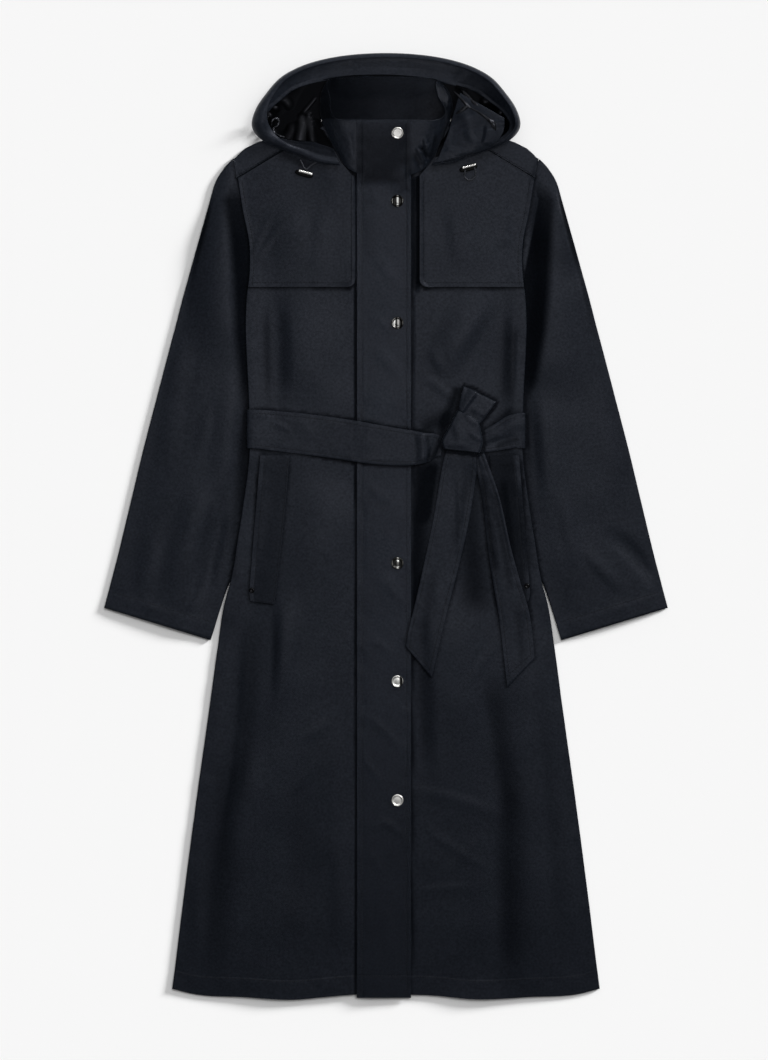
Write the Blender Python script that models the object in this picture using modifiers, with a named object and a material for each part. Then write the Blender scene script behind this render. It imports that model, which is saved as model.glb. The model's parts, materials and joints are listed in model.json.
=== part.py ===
"""Hooded raincoat, belted and laid flat on its back: its cut pieces as thin solids.

Frame: +Y runs from hem to hood, +X is the wearer's left, +Z is up, and the coat rests on z = 0.
Tables and sizes are in millimetres; they become metres where a mesh is made.
"""

import math
from collections import namedtuple

import bmesh
import bpy
from mathutils import Matrix, Vector
from mathutils.bvhtree import BVHTree

MM = 0.001

# ---------------------------------------------------------------- driving dimensions (mm)
CLOTH = 1.0                 # one layer of shell cloth
DOUBLED = 1.4               # belt and collar: two layers sewn together
GAP = 0.3                   # air between neighbouring pieces
RIGHT_EDGE = -33.5          # inner edge of the wearer's right front, sewn under the placket
LEFT_EDGE = -26.0           # inner edge of the left front, which laps under the placket
FLAP_EDGE = 46.0            # inner edge of the storm flaps
FLAP_HEM = 323.0            # lower edge of the storm flaps
PLACKET_LEFT, PLACKET_RIGHT = -39.5, 33.8
COLLAR_TOP = 547.0
BELT_WIDTH = 55.0
BELT_MIDDLE = 131.0         # height of the belt's back run
TUCK_LIFT = 2.7             # sleeve thickness lying under the body's side edges
BELT_LIFT = DOUBLED + GAP   # belt thickness lying under the back
EDGE_FLAT = 12.0            # the side margin that lies over the sleeve
EDGE_SLOPE = 30.0           # where the body comes down to the surface again
BODY_LOFT = 2.6             # how far the fronts stand off the back between the seams
SLEEVE_LOFT = 3.6
SNAP_RADIUS, SNAP_HEIGHT = 8.4, 2.6
SNAP_X = 15.5
SNAP_HEIGHTS = (529.9, 439.4, 274.7, -49.3, -208.6, -369.2)
CORD_DIAMETER = 2.2


def table(columns, *rows):
    """Rows with named columns."""
    row_type = namedtuple("Row", columns)
    return [row_type(*row) for row in rows]


# Half outline of the body from hem corner to shoulder tip.
BODY_SIDE = table(
    "y half",
    (-624.0, 287.6), (-504.0, 272.7), (-369.0, 255.0), (-234.0, 236.0), (-166.7, 226.8),
    (-99.0, 216.0), (-74.9, 209.3), (-19.6, 199.8), (29.0, 192.2), (96.5, 183.8),
    (157.3, 184.3), (305.8, 187.7), (346.0, 183.6), (380.0, 184.0), (427.0, 193.0),
    (470.5, 199.8), (498.0, 203.0),
)
# Hem line, left to right: how far the hem swings below the corners.
HEM = table(
    "x y",
    (-287.6, -624.0), (-262.0, -630.5), (-193.0, -635.0), (-122.0, -638.5), (-82.0, -635.0),
    (-38.0, -631.5), (0.0, -632.0), (57.0, -632.5), (122.0, -638.0), (193.0, -635.0),
    (262.0, -630.5), (287.6, -624.0),
)
# Upper edge of each front: neckline, neck point, then the forward shoulder seam.
FRONT_TOP = table(
    "half y",
    (0.0, 469.0), (33.0, 470.0), (46.0, 474.0), (61.0, 492.0), (74.0, 514.0),
    (83.0, 541.0), (199.8, 470.0),
)
# Upper edge of the back: back neck, neck point, shoulder line.
BACK_TOP = table(
    "half y",
    (0.0, 536.0), (60.0, 540.0), (84.0, 547.0), (174.0, 517.7), (190.0, 509.6), (203.0, 498.0),
)
# Sleeve sections from shoulder to cuff: outer fold, inner fold, share of the full loft.
SLEEVE = table(
    "outer_x outer_y inner_x inner_y loft",
    (207.0, 495.5, 203.6, 489.0, 0.0),
    (217.4, 484.0, 201.2, 476.0, 0.4),
    (229.0, 465.0, 198.2, 452.0, 0.7),
    (237.0, 438.0, 193.8, 427.0, 0.9),
    (246.0, 406.0, 188.9, 402.0, 1.0),
    (255.2, 373.3, 185.3, 372.0, 1.0),
    (264.6, 339.5, 185.1, 340.0, 1.0),
    (273.6, 307.0, 188.2, 306.0, 1.0),
    (282.3, 273.0, 181.0, 274.0, 1.0),
    (291.6, 238.3, 178.0, 234.0, 1.0),
    (309.2, 170.8, 176.0, 160.0, 1.0),
    (326.7, 103.3, 176.5, 86.0, 1.0),
    (342.9, 35.8, 186.0, 16.0, 1.0),
    (359.1, -31.7, 201.0, -52.0, 0.9),
    (369.5, -72.0, 216.0, -86.0, 0.8),
    (379.4, -110.0, 237.6, -153.2, 0.6),
)
# Largest soft folds of the fronts: two ends, half width, height (negative is a trough).
BODY_FOLDS = table(
    "x0 y0 x1 y1 width rise",
    (-96.0, 310.0, -92.0, 175.0, 42.0, 1.8),
    (-168.0, 290.0, -164.0, 170.0, 12.0, -0.8),
    (-108.0, 50.0, -168.0, -470.0, 52.0, 2.6),
    (-208.0, -150.0, -236.0, -520.0, 22.0, -1.0),
    (-72.0, -240.0, -96.0, -600.0, 34.0, 1.6),
    (88.0, 300.0, 120.0, 190.0, 46.0, 1.6),
    (100.0, -60.0, 108.0, -330.0, 40.0, 2.4),
    (165.0, -120.0, 176.0, -600.0, 26.0, -1.2),
    (212.0, -190.0, 236.0, -590.0, 30.0, 2.2),
    (78.0, -420.0, 92.0, -610.0, 34.0, 1.6),
)
# Collar stations round its inside, from the front middle past the wearer's left and back.
COLLAR = table(
    "low_x low_y low_z mid_x mid_y mid_z top_x top_y top_z",
    (0.0, 472.0, 9.0, 0.0, 508.0, 26.0, 0.0, 546.8, 42.0),
    (30.0, 474.0, 9.0, 32.0, 509.0, 26.0, 34.0, 546.8, 42.0),
    (52.0, 484.0, 9.0, 58.0, 514.0, 25.0, 62.0, 546.5, 40.0),
    (64.0, 500.0, 9.0, 72.0, 530.0, 23.0, 76.0, 551.0, 35.0),
    (72.0, 518.0, 8.6, 81.0, 545.0, 19.0, 79.0, 561.0, 29.0),
    (78.0, 534.0, 7.6, 88.0, 566.0, 14.0, 70.0, 578.0, 22.0),
    (76.0, 545.0, 6.0, 84.0, 584.0, 7.4, 66.5, 594.0, 13.0),
    (62.0, 546.0, 5.0, 70.0, 584.0, 5.2, 66.0, 603.0, 6.6),
    (34.0, 543.0, 5.0, 36.0, 575.0, 5.0, 38.0, 606.0, 5.4),
    (0.0, 541.0, 5.0, 0.0, 574.0, 5.0, 0.0, 606.6, 5.4),
    (-34.0, 543.0, 5.0, -40.0, 575.0, 5.0, -44.0, 606.4, 5.4),
    (-62.0, 546.0, 5.0, -72.0, 584.0, 5.2, -75.0, 604.0, 6.4),
    (-76.0, 545.0, 6.0, -86.0, 580.0, 8.0, -79.0, 593.0, 13.0),
    (-79.0, 534.0, 7.6, -88.0, 564.0, 14.0, -75.5, 578.0, 22.0),
    (-72.0, 518.0, 8.6, -80.0, 543.0, 20.0, -74.0, 562.0, 31.0),
    (-62.0, 500.0, 9.0, -66.0, 524.0, 24.0, -70.0, 551.0, 37.0),
    (-51.0, 484.0, 9.0, -54.0, 512.0, 25.0, -57.0, 546.8, 41.0),
    (-30.0, 474.0, 9.0, -32.0, 509.0, 26.0, -33.0, 546.8, 42.0),
)
LEFT_ROLL = 6.0             # the hood's edge rolls in less on the wearer's left
# Hood sections along its edge, from the front corner (row 0) to the crown: outline point, seam
# point by the neck, height, width of the slope, how far the edge rolls in, and the roll's angle.
HOOD = table(
    "x y seam_x seam_y height slope roll turn",
    (62.0, 487.0, 71.0, 510.0, 10.0, 14.0, 6.0, 100.0),
    (90.0, 490.2, 84.0, 520.0, 12.0, 22.0, 6.0, 110.0),
    (116.5, 500.0, 92.0, 528.0, 15.0, 26.0, 7.0, 120.0),
    (139.5, 507.5, 95.0, 535.0, 21.0, 32.0, 8.0, 130.0),
    (160.0, 516.0, 97.0, 541.0, 28.0, 40.0, 11.0, 130.0),
    (176.0, 529.0, 98.0, 547.0, 34.0, 46.0, 14.0, 130.0),
    (181.0, 543.0, 98.0, 552.0, 38.0, 50.0, 14.0, 125.0),
    (175.5, 562.0, 96.0, 556.0, 38.0, 52.0, 12.0, 110.0),
    (164.0, 580.0, 92.0, 557.0, 36.0, 50.0, 9.0, 100.0),
    (144.5, 602.8, 82.0, 557.0, 32.0, 46.0, 7.0, 90.0),
    (122.0, 617.0, 70.0, 556.0, 28.0, 38.0, 6.0, 90.0),
    (96.0, 626.8, 54.0, 554.0, 24.0, 28.0, 6.0, 90.0),
    (66.0, 633.5, 36.0, 552.0, 21.0, 24.0, 6.0, 90.0),
    (34.0, 637.2, 18.0, 550.0, 19.0, 23.0, 6.0, 90.0),
    (0.0, 638.5, 0.0, 549.0, 18.0, 22.0, 6.0, 90.0),
)
# Turned-back front corner of the hood, row by row from its lower edge to its ridge.
HOOD_CORNER = table(
    "left_x left_y left_z right_x right_y right_z",
    (66.0, 490.0, 22.0, 140.0, 510.0, 26.0),
    (72.0, 505.0, 25.0, 150.0, 520.0, 33.0),
    (81.0, 528.0, 28.0, 158.0, 532.0, 38.0),
    (96.0, 578.0, 33.0, 159.0, 546.0, 43.0),
    (100.0, 586.0, 27.0, 157.0, 553.0, 36.0),
    (104.0, 594.0, 17.0, 153.0, 560.0, 25.0),
)
# Belt stretches: middle line and width, from the knot outwards.
BELT_FRONT = table(
    "x y width",
    (76.0, 107.0, 24.0), (64.0, 108.5, 34.0), (46.0, 106.0, 44.0), (18.0, 107.0, 50.0),
    (-20.0, 111.5, 54.0), (-60.0, 118.0, 55.0), (-108.0, 124.4, 55.0), (-150.0, 129.0, 54.0),
    (-170.0, 131.0, 53.0), (-180.0, 131.5, 52.5),
)
BELT_SIDE = table(
    "x y width",
    (124.0, 112.0, 24.0), (136.0, 115.0, 30.0), (150.0, 120.0, 36.0), (162.0, 124.5, 41.0),
    (171.0, 128.0, 45.0), (180.0, 129.2, 48.0),
)
# Loose ends of the belt, from the knot down: middle line, width, slant of the end.
TAIL_FRONT = table(
    "x y width slant",
    (101.0, 112.0, 34.0, 0.0), (100.0, 90.0, 44.0, 0.0), (96.5, 62.0, 48.0, 0.0),
    (88.0, 10.0, 48.0, 2.0), (76.0, -46.0, 47.0, 3.0), (62.0, -104.0, 45.0, 4.0),
    (52.0, -146.0, 45.0, 8.0), (44.0, -183.0, 43.0, 17.0),
)
TAIL_BACK = table(
    "x y width slant",
    (122.0, 106.0, 14.0, 0.0), (128.0, 88.0, 16.0, 0.0), (142.0, 35.0, 24.0, 0.0),
    (153.0, -30.0, 31.0, 0.0), (164.0, -82.0, 37.0, -2.0), (174.0, -128.0, 42.0, -6.0),
    (182.0, -198.0, 41.0, -17.0),
)
# Knot, row by row upwards: left and right side, and how far it domes over its edges.
KNOT = table(
    "y left right dome",
    (98.0, 84.0, 119.0, 0.0), (104.0, 78.0, 124.0, 3.0), (114.0, 74.5, 129.0, 5.0),
    (126.0, 79.0, 130.0, 6.0), (139.0, 86.0, 127.5, 5.5), (148.0, 92.0, 120.0, 3.5),
    (153.0, 98.0, 110.0, 1.0),
)
# Half bow above the knot: where the doubled loop starts and its far fold.
LOOP = table(
    "left_x left_y right_x right_y",
    (97.0, 140.0, 122.0, 134.0), (98.0, 158.0, 132.0, 145.0), (101.0, 176.0, 141.0, 157.0),
    (104.0, 187.0, 147.0, 166.0),
)
RIVET_RADIUS = 3.6
WELT_SHIFT = 9.5            # the left pocket lies this much nearer its side edge
# Pocket welts: the opening edge and the sewn edge, from the top down.
WELT = table(
    "y opening sewn",
    (96.0, 170.0, 130.0), (40.0, 174.5, 134.5), (-20.0, 179.5, 140.5), (-90.0, 185.0, 148.5),
    (-101.0, 183.0, 151.0),
)
RIVETS = table("side x y", ("right", -181.0, -86.0), ("left", 190.4, -80.0))
TOGGLES = table(
    "side x y angle",
    ("right", -108.5, 477.5, -15.0), ("left", 112.0, 486.0, 15.0),
)
# Drawcord strands: place and height over the flap, from the hood's edge and back to it.
CORDS = {
    "right": table("x y up", (-115.5, 494.5, 4.4), (-112.5, 488.0, 3.6), (-109.6, 482.8, 3.4),
                   (-106.4, 482.2, 3.4), (-101.0, 487.0, 3.6), (-94.0, 491.2, 4.4)),
    "left": table("x y up", (107.0, 481.0, 5.2), (106.0, 477.0, 4.8), (105.8, 472.6, 2.2),
                  (109.4, 468.2, 1.5), (115.6, 468.0, 1.5), (120.0, 472.4, 1.9),
                  (120.8, 478.0, 3.9), (119.2, 484.0, 5.2)),
}

COLOURS = {
    "shell_cloth": ((0.014, 0.018, 0.026, 1.0), 0.62, 0.0),
    "lining_cloth": ((0.004, 0.005, 0.008, 1.0), 0.35, 0.0),
    "snap_metal": ((0.55, 0.55, 0.56, 1.0), 0.25, 1.0),
    "black_plastic": ((0.01, 0.01, 0.012, 1.0), 0.4, 0.0),
    "black_cord": ((0.012, 0.012, 0.016, 1.0), 0.7, 0.0),
}


# ---------------------------------------------------------------- scene and materials
for old in list(bpy.data.objects):
    bpy.data.objects.remove(old, do_unlink=True)

coat = bpy.data.collections.new("hooded_raincoat")
bpy.context.scene.collection.children.link(coat)
root = bpy.data.objects.new("coat_origin", None)
coat.objects.link(root)


def make_material(name):
    """Principled material from the colour table."""
    colour, roughness, metallic = COLOURS[name]
    material = bpy.data.materials.new(name)
    material.use_nodes = True
    shader = material.node_tree.nodes["Principled BSDF"]
    shader.inputs["Base Color"].default_value = colour
    shader.inputs["Roughness"].default_value = roughness
    shader.inputs["Metallic"].default_value = metallic
    material.diffuse_color = colour
    return material


MATERIALS = {name: make_material(name) for name in COLOURS}


# ---------------------------------------------------------------- form helpers
def read(rows, key, column, at):
    """A column's value where the rising key column reads `at`, straight between rows."""
    if at <= getattr(rows[0], key):
        return getattr(rows[0], column)
    for low, high in zip(rows, rows[1:]):
        start, end = getattr(low, key), getattr(high, key)
        if at <= end:
            share = (at - start) / (end - start)
            return getattr(low, column) + share * (getattr(high, column) - getattr(low, column))
    return getattr(rows[-1], column)


def ease(value, start, end):
    """0 at `start`, 1 at `end`, smooth between."""
    share = min(1.0, max(0.0, (value - start) / (end - start)))
    return share * share * (3.0 - 2.0 * share)


def mix(a, b, share):
    return a + (b - a) * share


def body_half(y):
    return read(BODY_SIDE, "y", "half", y)


def fold_height(x, y, folds):
    """Sum of soft ridges and troughs, each along its own line and fading at its ends."""
    total = 0.0
    for fold in folds:
        along = Vector((fold.x1 - fold.x0, fold.y1 - fold.y0))
        length = along.length
        along.normalize()
        offset = Vector((x - fold.x0, y - fold.y0))
        run = offset.dot(along)
        away = abs(offset.cross(along)) / fold.width
        if away < 1.0 and 0.0 < run < length:
            fade = ease(run, 0.0, 0.3 * length) * ease(run, length, 0.7 * length)
            total += fold.rise * fade * (0.5 + 0.5 * math.cos(math.pi * away))
    return total


def side_lift(x, y):
    """Rise of the body's side margin where the sleeve lies under it."""
    inset = body_half(y) - abs(x)
    over_sleeve = ease(y, 356.0, 316.0) * ease(y, -140.0, -96.0)
    return TUCK_LIFT * over_sleeve * ease(inset, EDGE_SLOPE, EDGE_FLAT)


def back_floor(x, y):
    """Underside of the back: flat on the surface but for what lies beneath it."""
    over_belt = ease(y, 205.0, 168.0) * ease(y, 60.0, 92.0)
    return side_lift(x, y) + BELT_LIFT * over_belt


def front_loft(x, y):
    """How far a front stands off the back: nothing at the seams, soft folds between."""
    inset = body_half(min(y, 498.0)) - abs(x)
    from_side = ease(inset, EDGE_FLAT - 2.0, 70.0)
    from_hem = mix(0.35, 1.0, ease(y, -632.0, -560.0))
    from_shoulder = ease(read(FRONT_TOP, "half", "y", abs(x)) - y, -1.0, 60.0)
    neck = 3.6 * ease(y, 420.0, 470.0) * ease(abs(x), 110.0, 60.0)
    belt_pull = 1.0 - 0.45 * ease(y, 230.0, 170.0) * ease(y, 40.0, 95.0)
    loft = BODY_LOFT * belt_pull + fold_height(x, y, BODY_FOLDS)
    return from_side * from_hem * max(from_shoulder, 0.05) * loft + neck


# Rows of the body's grid, from hem to shoulder.
BODY_ROWS = (
    -624.0, -600.0, -540.0, -480.0, -420.0, -360.0, -300.0, -240.0, -190.0, -140.0, -96.0,
    -60.0, -20.0, 20.0, 60.0, 92.0, 130.0, 168.0, 205.0, 250.0, 290.0, FLAP_HEM, 336.0, 352.0,
    385.0, 425.0, 450.0, 470.0,
)
FRONT_SHARES = (0.12, 0.26, 0.42, 0.60, 0.80, 1.0)


# ---------------------------------------------------------------- mesh helpers
SURFACES = {}


def finish(obj, material, smooth=True):
    """Gives an object its material and parent, and keeps its surface for pieces laid on it."""
    obj.data.materials.append(MATERIALS[material])
    if smooth:
        obj.data.shade_smooth()
    obj.parent = root
    bpy.context.view_layer.update()
    graph = bpy.context.evaluated_depsgraph_get()
    evaluated = obj.evaluated_get(graph)
    mesh = evaluated.to_mesh()
    points = [obj.matrix_world @ v.co / MM for v in mesh.vertices]
    faces = [tuple(p.vertices) for p in mesh.polygons]
    edges = [tuple(e.vertices) for e in mesh.edges]
    evaluated.to_mesh_clear()
    samples = points + [mix(points[a], points[b], t) for a, b in edges for t in (0.25, 0.5, 0.75)]
    samples += [sum((points[i] for i in face), Vector()) / len(face) for face in faces]
    SURFACES[obj.name] = (BVHTree.FromPolygons(points, faces), samples)
    return obj


def sheet(name, rows, thickness, material, facing=(0, 0, 1), ring=False):
    """A cloth piece: a grid of points with a wall on the side that its first face looks to."""
    across, down = len(rows[0]) - 1, len(rows) - 1
    grid = bmesh.new()
    bmesh.ops.create_grid(grid, x_segments=across, y_segments=down, size=0.5)
    for vert in grid.verts:
        column = round((vert.co.x + 0.5) * across)
        row = round((vert.co.y + 0.5) * down)
        vert.co = Vector(rows[row][column]) * MM
    if ring:
        bmesh.ops.remove_doubles(grid, verts=grid.verts, dist=0.00001)
    grid.normal_update()
    corner = Vector(rows[0][0]) * MM
    first = min(grid.faces, key=lambda face: (face.calc_center_median() - corner).length)
    if first.normal.dot(Vector(facing)) < 0.0:
        bmesh.ops.reverse_faces(grid, faces=grid.faces)
    mesh = bpy.data.meshes.new(name)
    grid.to_mesh(mesh)
    grid.free()
    obj = bpy.data.objects.new(name, mesh)
    coat.objects.link(obj)
    wall = obj.modifiers.new("wall", "SOLIDIFY")
    wall.thickness = thickness * MM
    wall.offset = 1.0
    wall.use_even_offset = True
    wall.use_quality_normals = True
    return finish(obj, material)


def top_at(x, y, below):
    """Highest surface of the named pieces at a point, or 0 where there is none."""
    best = 0.0
    for name in below:
        hit = SURFACES[name][0].ray_cast(Vector((x, y, 500.0)), Vector((0, 0, -1)))[0]
        if hit is not None:
            best = max(best, hit.z)
    return best


def lay_on(rows, below, gap=GAP, passes=6):
    """Lifts a grid of points until its faces lie clear of the pieces below."""
    flat = [Vector(point) for row in rows for point in row]
    across = len(rows[0])
    for point in flat:
        under = top_at(point.x, point.y, below)
        if under > 0.0:
            point.z = max(point.z, under + gap)
    faces = []
    for r in range(len(rows) - 1):
        for c in range(across - 1):
            first = r * across + c
            faces.append((first, first + 1, first + across + 1, first + across))
    for _ in range(passes):
        tree = BVHTree.FromPolygons(flat, faces)
        raised = {}
        for name in below:
            for under in SURFACES[name][1]:
                ray = tree.ray_cast(Vector((under.x, under.y, 500.0)), Vector((0, 0, -1)))
                if ray[0] is None or ray[0].z >= under.z + 0.9 * gap:
                    continue
                clear = under.z + gap
                for corner in faces[ray[2]]:
                    z = flat[corner].z
                    wanted = min(z + clear - ray[0].z, max(z, clear))
                    raised[corner] = max(raised.get(corner, z), wanted)
        for corner, z in raised.items():
            flat[corner].z = z
    return [flat[r * across:(r + 1) * across] for r in range(len(rows))]


def roof(x, y, below, reach=26.0, slope=0.5):
    """Height of a soft layer that drapes from the pieces below down to the surface."""
    best = top_at(x, y, below)
    for ring in (0.33, 0.66, 1.0):
        for step in range(12):
            angle = math.tau * step / 12
            near = top_at(x + ring * reach * math.cos(angle), y + ring * reach * math.sin(angle),
                          below)
            if near > 0.0:
                best = max(best, near - slope * ring * reach * ring)
    return best


# ---------------------------------------------------------------- body
def front_columns(side, y):
    """Places across one front: from under the placket to the side edge."""
    half = body_half(y)
    inner, last = FLAP_EDGE, half - EDGE_SLOPE
    places = [LEFT_EDGE, 4.0, inner] if side > 0 else [-RIGHT_EDGE, inner]
    places += [mix(inner, last, share) for share in FRONT_SHARES]
    places += [half - EDGE_FLAT, half]
    return places


def stretch(x, y, top_rows):
    """Moves a row to follow the hem at the bottom and the top edge at the top."""
    drop = read(HEM, "x", "y", x) - BODY_ROWS[0]
    rise = read(top_rows, "half", "y", abs(x)) - BODY_ROWS[-1]
    return y + drop * ease(y, -500.0, BODY_ROWS[0]) + rise * ease(y, 425.0, BODY_ROWS[-1])


def back_rows():
    rows = []
    for y in BODY_ROWS:
        half = body_half(y)
        half_places = [0.0, 46.0] + [mix(46.0, half - EDGE_SLOPE, s) for s in (0.33, 0.66, 1.0)]
        half_places += [half - EDGE_FLAT, half]
        row = []
        for x in [-p for p in reversed(half_places)] + half_places[1:]:
            share = ease(y, 425.0, BODY_ROWS[-1])
            widened = x * mix(1.0, 203.0 / 199.8, share)
            placed = stretch(widened, y, BACK_TOP)
            row.append((widened, placed, back_floor(x, y)))
        rows.append(row)
    return rows


def front_rows(side):
    rows = []
    for y in BODY_ROWS:
        row = []
        for place in front_columns(side, y):
            x = side * place
            placed = stretch(x, y, FRONT_TOP)
            z = back_floor(x, y) + CLOTH + GAP + front_loft(x, placed)
            row.append((x, placed, z))
        rows.append(row)
    return rows


def belt_back():
    """Back run of the belt, between the surface and the back."""
    rows = []
    for edge in (-0.5, 0.5):
        y = BELT_MIDDLE + edge * BELT_WIDTH
        half = body_half(BELT_MIDDLE) - EDGE_FLAT
        places = [half - 0.4, half - 18.0, 80.0]
        row = []
        for x in [-p for p in places] + [p for p in reversed(places)]:
            row.append((x, y, side_lift(x, BELT_MIDDLE)))
        rows.append(row)
    sheet("belt_back_run", rows, DOUBLED, "shell_cloth")


def yoke(side):
    """Strip from the forward shoulder seam to the shoulder line."""
    rows = []
    for share in (0.0, 0.25, 0.5, 0.75, 1.0):
        seam = (mix(86.0, 199.8, share), mix(539.6, 470.5, share))
        line_x = mix(86.0, 202.6, share)
        line = (line_x, read(BACK_TOP, "half", "y", line_x) - 0.4)
        row = []
        for step in (0.0, 0.33, 0.66, 1.0):
            x, y = mix(seam[0], line[0], step), mix(seam[1], line[1], step)
            crown = 0.9 * math.sin(math.pi * step)
            row.append((side * x, y, CLOTH + GAP + crown))
        rows.append(row)
    name = "shoulder_yoke_left" if side > 0 else "shoulder_yoke_right"
    sheet(name, lay_on(rows, ("back_panel",)), CLOTH, "shell_cloth")


def storm_flap(side):
    """Loose flap over the chest: the front's own points, moved out."""
    first = BODY_ROWS.index(FLAP_HEM)
    rows = []
    panel = front_rows(side)
    edge = 2 if side > 0 else 1
    for index, row in enumerate(panel[first:]):
        lifted = [Vector(p) + Vector((0, 0, CLOTH + GAP)) for p in row[edge:]]
        if index == 0:
            lifted[0] += Vector((side * 7.0, 5.0, 0))
            lifted[1].y += 0.5
        elif index == 1:
            lifted[0].x += side * 1.0
        lifted[0].z += 0.8
        rows.append([tuple(p) for p in lifted])
    name = "storm_flap_left" if side > 0 else "storm_flap_right"
    below = ("front_left",) if side > 0 else ("front_right",)
    sheet(name, lay_on(rows, below), CLOTH, "shell_cloth")


# ---------------------------------------------------------------- sleeves
SLEEVE_STEPS = (0.0, 15.0, 0.24, 0.40, 0.56, 0.72, 0.86, 1.0)


def sleeve_point(section, step):
    """Point across a sleeve: in mm from the inner fold, or as a share of the width."""
    inner = Vector((section.inner_x, section.inner_y))
    outer = Vector((section.outer_x, section.outer_y))
    if step > 1.0:
        step = min(step / (outer - inner).length, 0.18)
    return inner.lerp(outer, step), step


def sleeve(side):
    upper, under = [], []
    for section in SLEEVE:
        top_row, floor_row = [], []
        for step in SLEEVE_STEPS:
            point, share = sleeve_point(section, step)
            loft = SLEEVE_LOFT * section.loft * math.sin(math.pi * min(1.0, share * 1.02)) ** 0.8
            if step in (0.0, 15.0, 1.0):
                loft = 0.0
            top_row.append((side * point.x, point.y, CLOTH + GAP + loft))
            if step in (0.0, 0.24, 0.56, 1.0):
                floor_row.append((side * point.x, point.y, 0.0))
        upper.append(top_row)
        under.append(floor_row)
    tag = "left" if side > 0 else "right"
    sheet("sleeve_under_" + tag, under, CLOTH, "shell_cloth")
    sheet("sleeve_upper_" + tag, upper, CLOTH, "shell_cloth")


# ---------------------------------------------------------------- collar and hood
def curve_through(low, middle, top, share):
    """Point on the smooth curve through three points."""
    a = 2.0 * (share - 0.5) * (share - 1.0)
    b = -4.0 * share * (share - 1.0)
    c = 2.0 * share * (share - 0.5)
    return Vector(low) * a + Vector(middle) * b + Vector(top) * c


def round_mid(points, share):
    """Catmull-Rom point between the two middle ones of four."""
    p0, p1, p2, p3 = points
    return 0.5 * ((2 * p1) + (p2 - p0) * share + (2 * p0 - 5 * p1 + 4 * p2 - p3) * share ** 2
                  + (3 * p1 - p0 - 3 * p2 + p3) * share ** 3)


def collar():
    stations = []
    for row in COLLAR:
        low = (row.low_x, row.low_y, row.low_z)
        mid = (row.mid_x, row.mid_y, row.mid_z)
        top = (row.top_x, row.top_y, row.top_z)
        stations.append([curve_through(low, mid, top, s) for s in (0.0, 0.25, 0.5, 0.75, 1.0)])
    count = len(stations)
    columns = []
    for index in range(count):
        near = [stations[(index + k) % count] for k in (-1, 0, 1, 2)]
        columns.append(stations[index])
        columns.append([round_mid([s[level] for s in near], 0.5) for level in range(5)])
    columns.append(stations[0])
    rows = [[column[level] for column in columns] for level in range(5)]
    sheet("collar", rows, DOUBLED, "shell_cloth", facing=(0.0, -0.4, 0.9), ring=True)


def hood_section(station, cover):
    """Hood cloth at one station, from the neck seam out, up the slope and over the rolled edge.

    `cover` moves the path inwards, for a layer that lies inside the shell.
    """
    outline = Vector((station.x, station.y))
    seam = Vector((station.seam_x, station.seam_y))
    reach = (seam - outline).length
    wall = 0.6 * station.height
    path = [(reach, 0.0)]
    slope = min(station.slope, reach - 3.0)
    path += [(mix(reach, slope, 0.5), 0.0)]
    for step in range(6):
        angle = math.radians(90.0 * step / 5)
        path.append((slope * (1 - math.sin(angle)), wall * (1 - math.cos(angle))))
    for step in range(1, 5):
        angle = math.radians(station.turn * step / 4)
        path.append((station.roll * (1 - math.cos(angle)),
                     wall + 0.4 * station.height * math.sin(angle)))
    if cover:
        moved = []
        for index, point in enumerate(path):
            before = Vector(path[max(index - 1, 0)])
            after = Vector(path[min(index + 1, len(path) - 1)])
            along = (after - before).normalized()
            moved.append((point[0] + cover * along.y, point[1] - cover * along.x))
        path = moved
    inward = (seam - outline) / reach
    return [(outline + inward * d, z) for d, z in path]


HOOD_BELOW = ("back_panel", "front_right", "front_left", "shoulder_yoke_right",
              "shoulder_yoke_left", "storm_flap_right", "storm_flap_left")
HOOD_BAND = 5               # first path point of the self-cloth band inside the hood


def hood_stations():
    """Both halves of the hood's edge, from the wearer's right front corner round to the left."""
    right = [row._replace(x=-row.x, seam_x=-row.seam_x) for row in HOOD]
    left = [row._replace(roll=min(row.roll, LEFT_ROLL), turn=min(row.turn, 95.0)) for row in HOOD]
    return right + list(reversed(left))[1:]


def hood_grid(cover):
    rows = []
    for station in hood_stations():
        row = []
        for place, z in hood_section(station, cover):
            floor = roof(place.x, place.y, HOOD_BELOW)
            lift = floor + 2.0 * GAP if floor > 0.05 else 0.0
            row.append(Vector((place.x, place.y, z + lift)))
        rows.append(row)
    lying = lay_on([row[:HOOD_BAND] for row in rows], HOOD_BELOW, gap=GAP + cover)
    return [low + row[HOOD_BAND:] for low, row in zip(lying, rows)]


def hood():
    sheet("hood_shell", hood_grid(0.0), CLOTH, "shell_cloth")
    nested = hood_grid(CLOTH + 2.5 * GAP)
    lining = [row[:HOOD_BAND + 1] for row in nested]
    band = []
    for row in nested:
        start = Vector(row[HOOD_BAND])
        after = Vector(row[HOOD_BAND + 1])
        start += (after - start).normalized() * GAP * 1.5
        band.append([tuple(start)] + row[HOOD_BAND + 1:])
    sheet("hood_lining", lining, CLOTH, "lining_cloth")
    sheet("hood_facing", band, CLOTH, "shell_cloth")


def hood_corner():
    """Turned-back front corner of the hood beside the collar: a low tent with one ridge."""
    rows = []
    for row in HOOD_CORNER:
        points = []
        for step in (0.0, 0.2, 0.4, 0.6, 0.8, 1.0):
            bow = 1.4 * math.sin(math.pi * step)
            points.append((mix(row.left_x, row.right_x, step), mix(row.left_y, row.right_y, step),
                           mix(row.left_z, row.right_z, step) + bow))
        rows.append(points)
    sheet("hood_front_facing", lay_on(rows, ("hood_lining", "hood_facing")), CLOTH, "shell_cloth")


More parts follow.
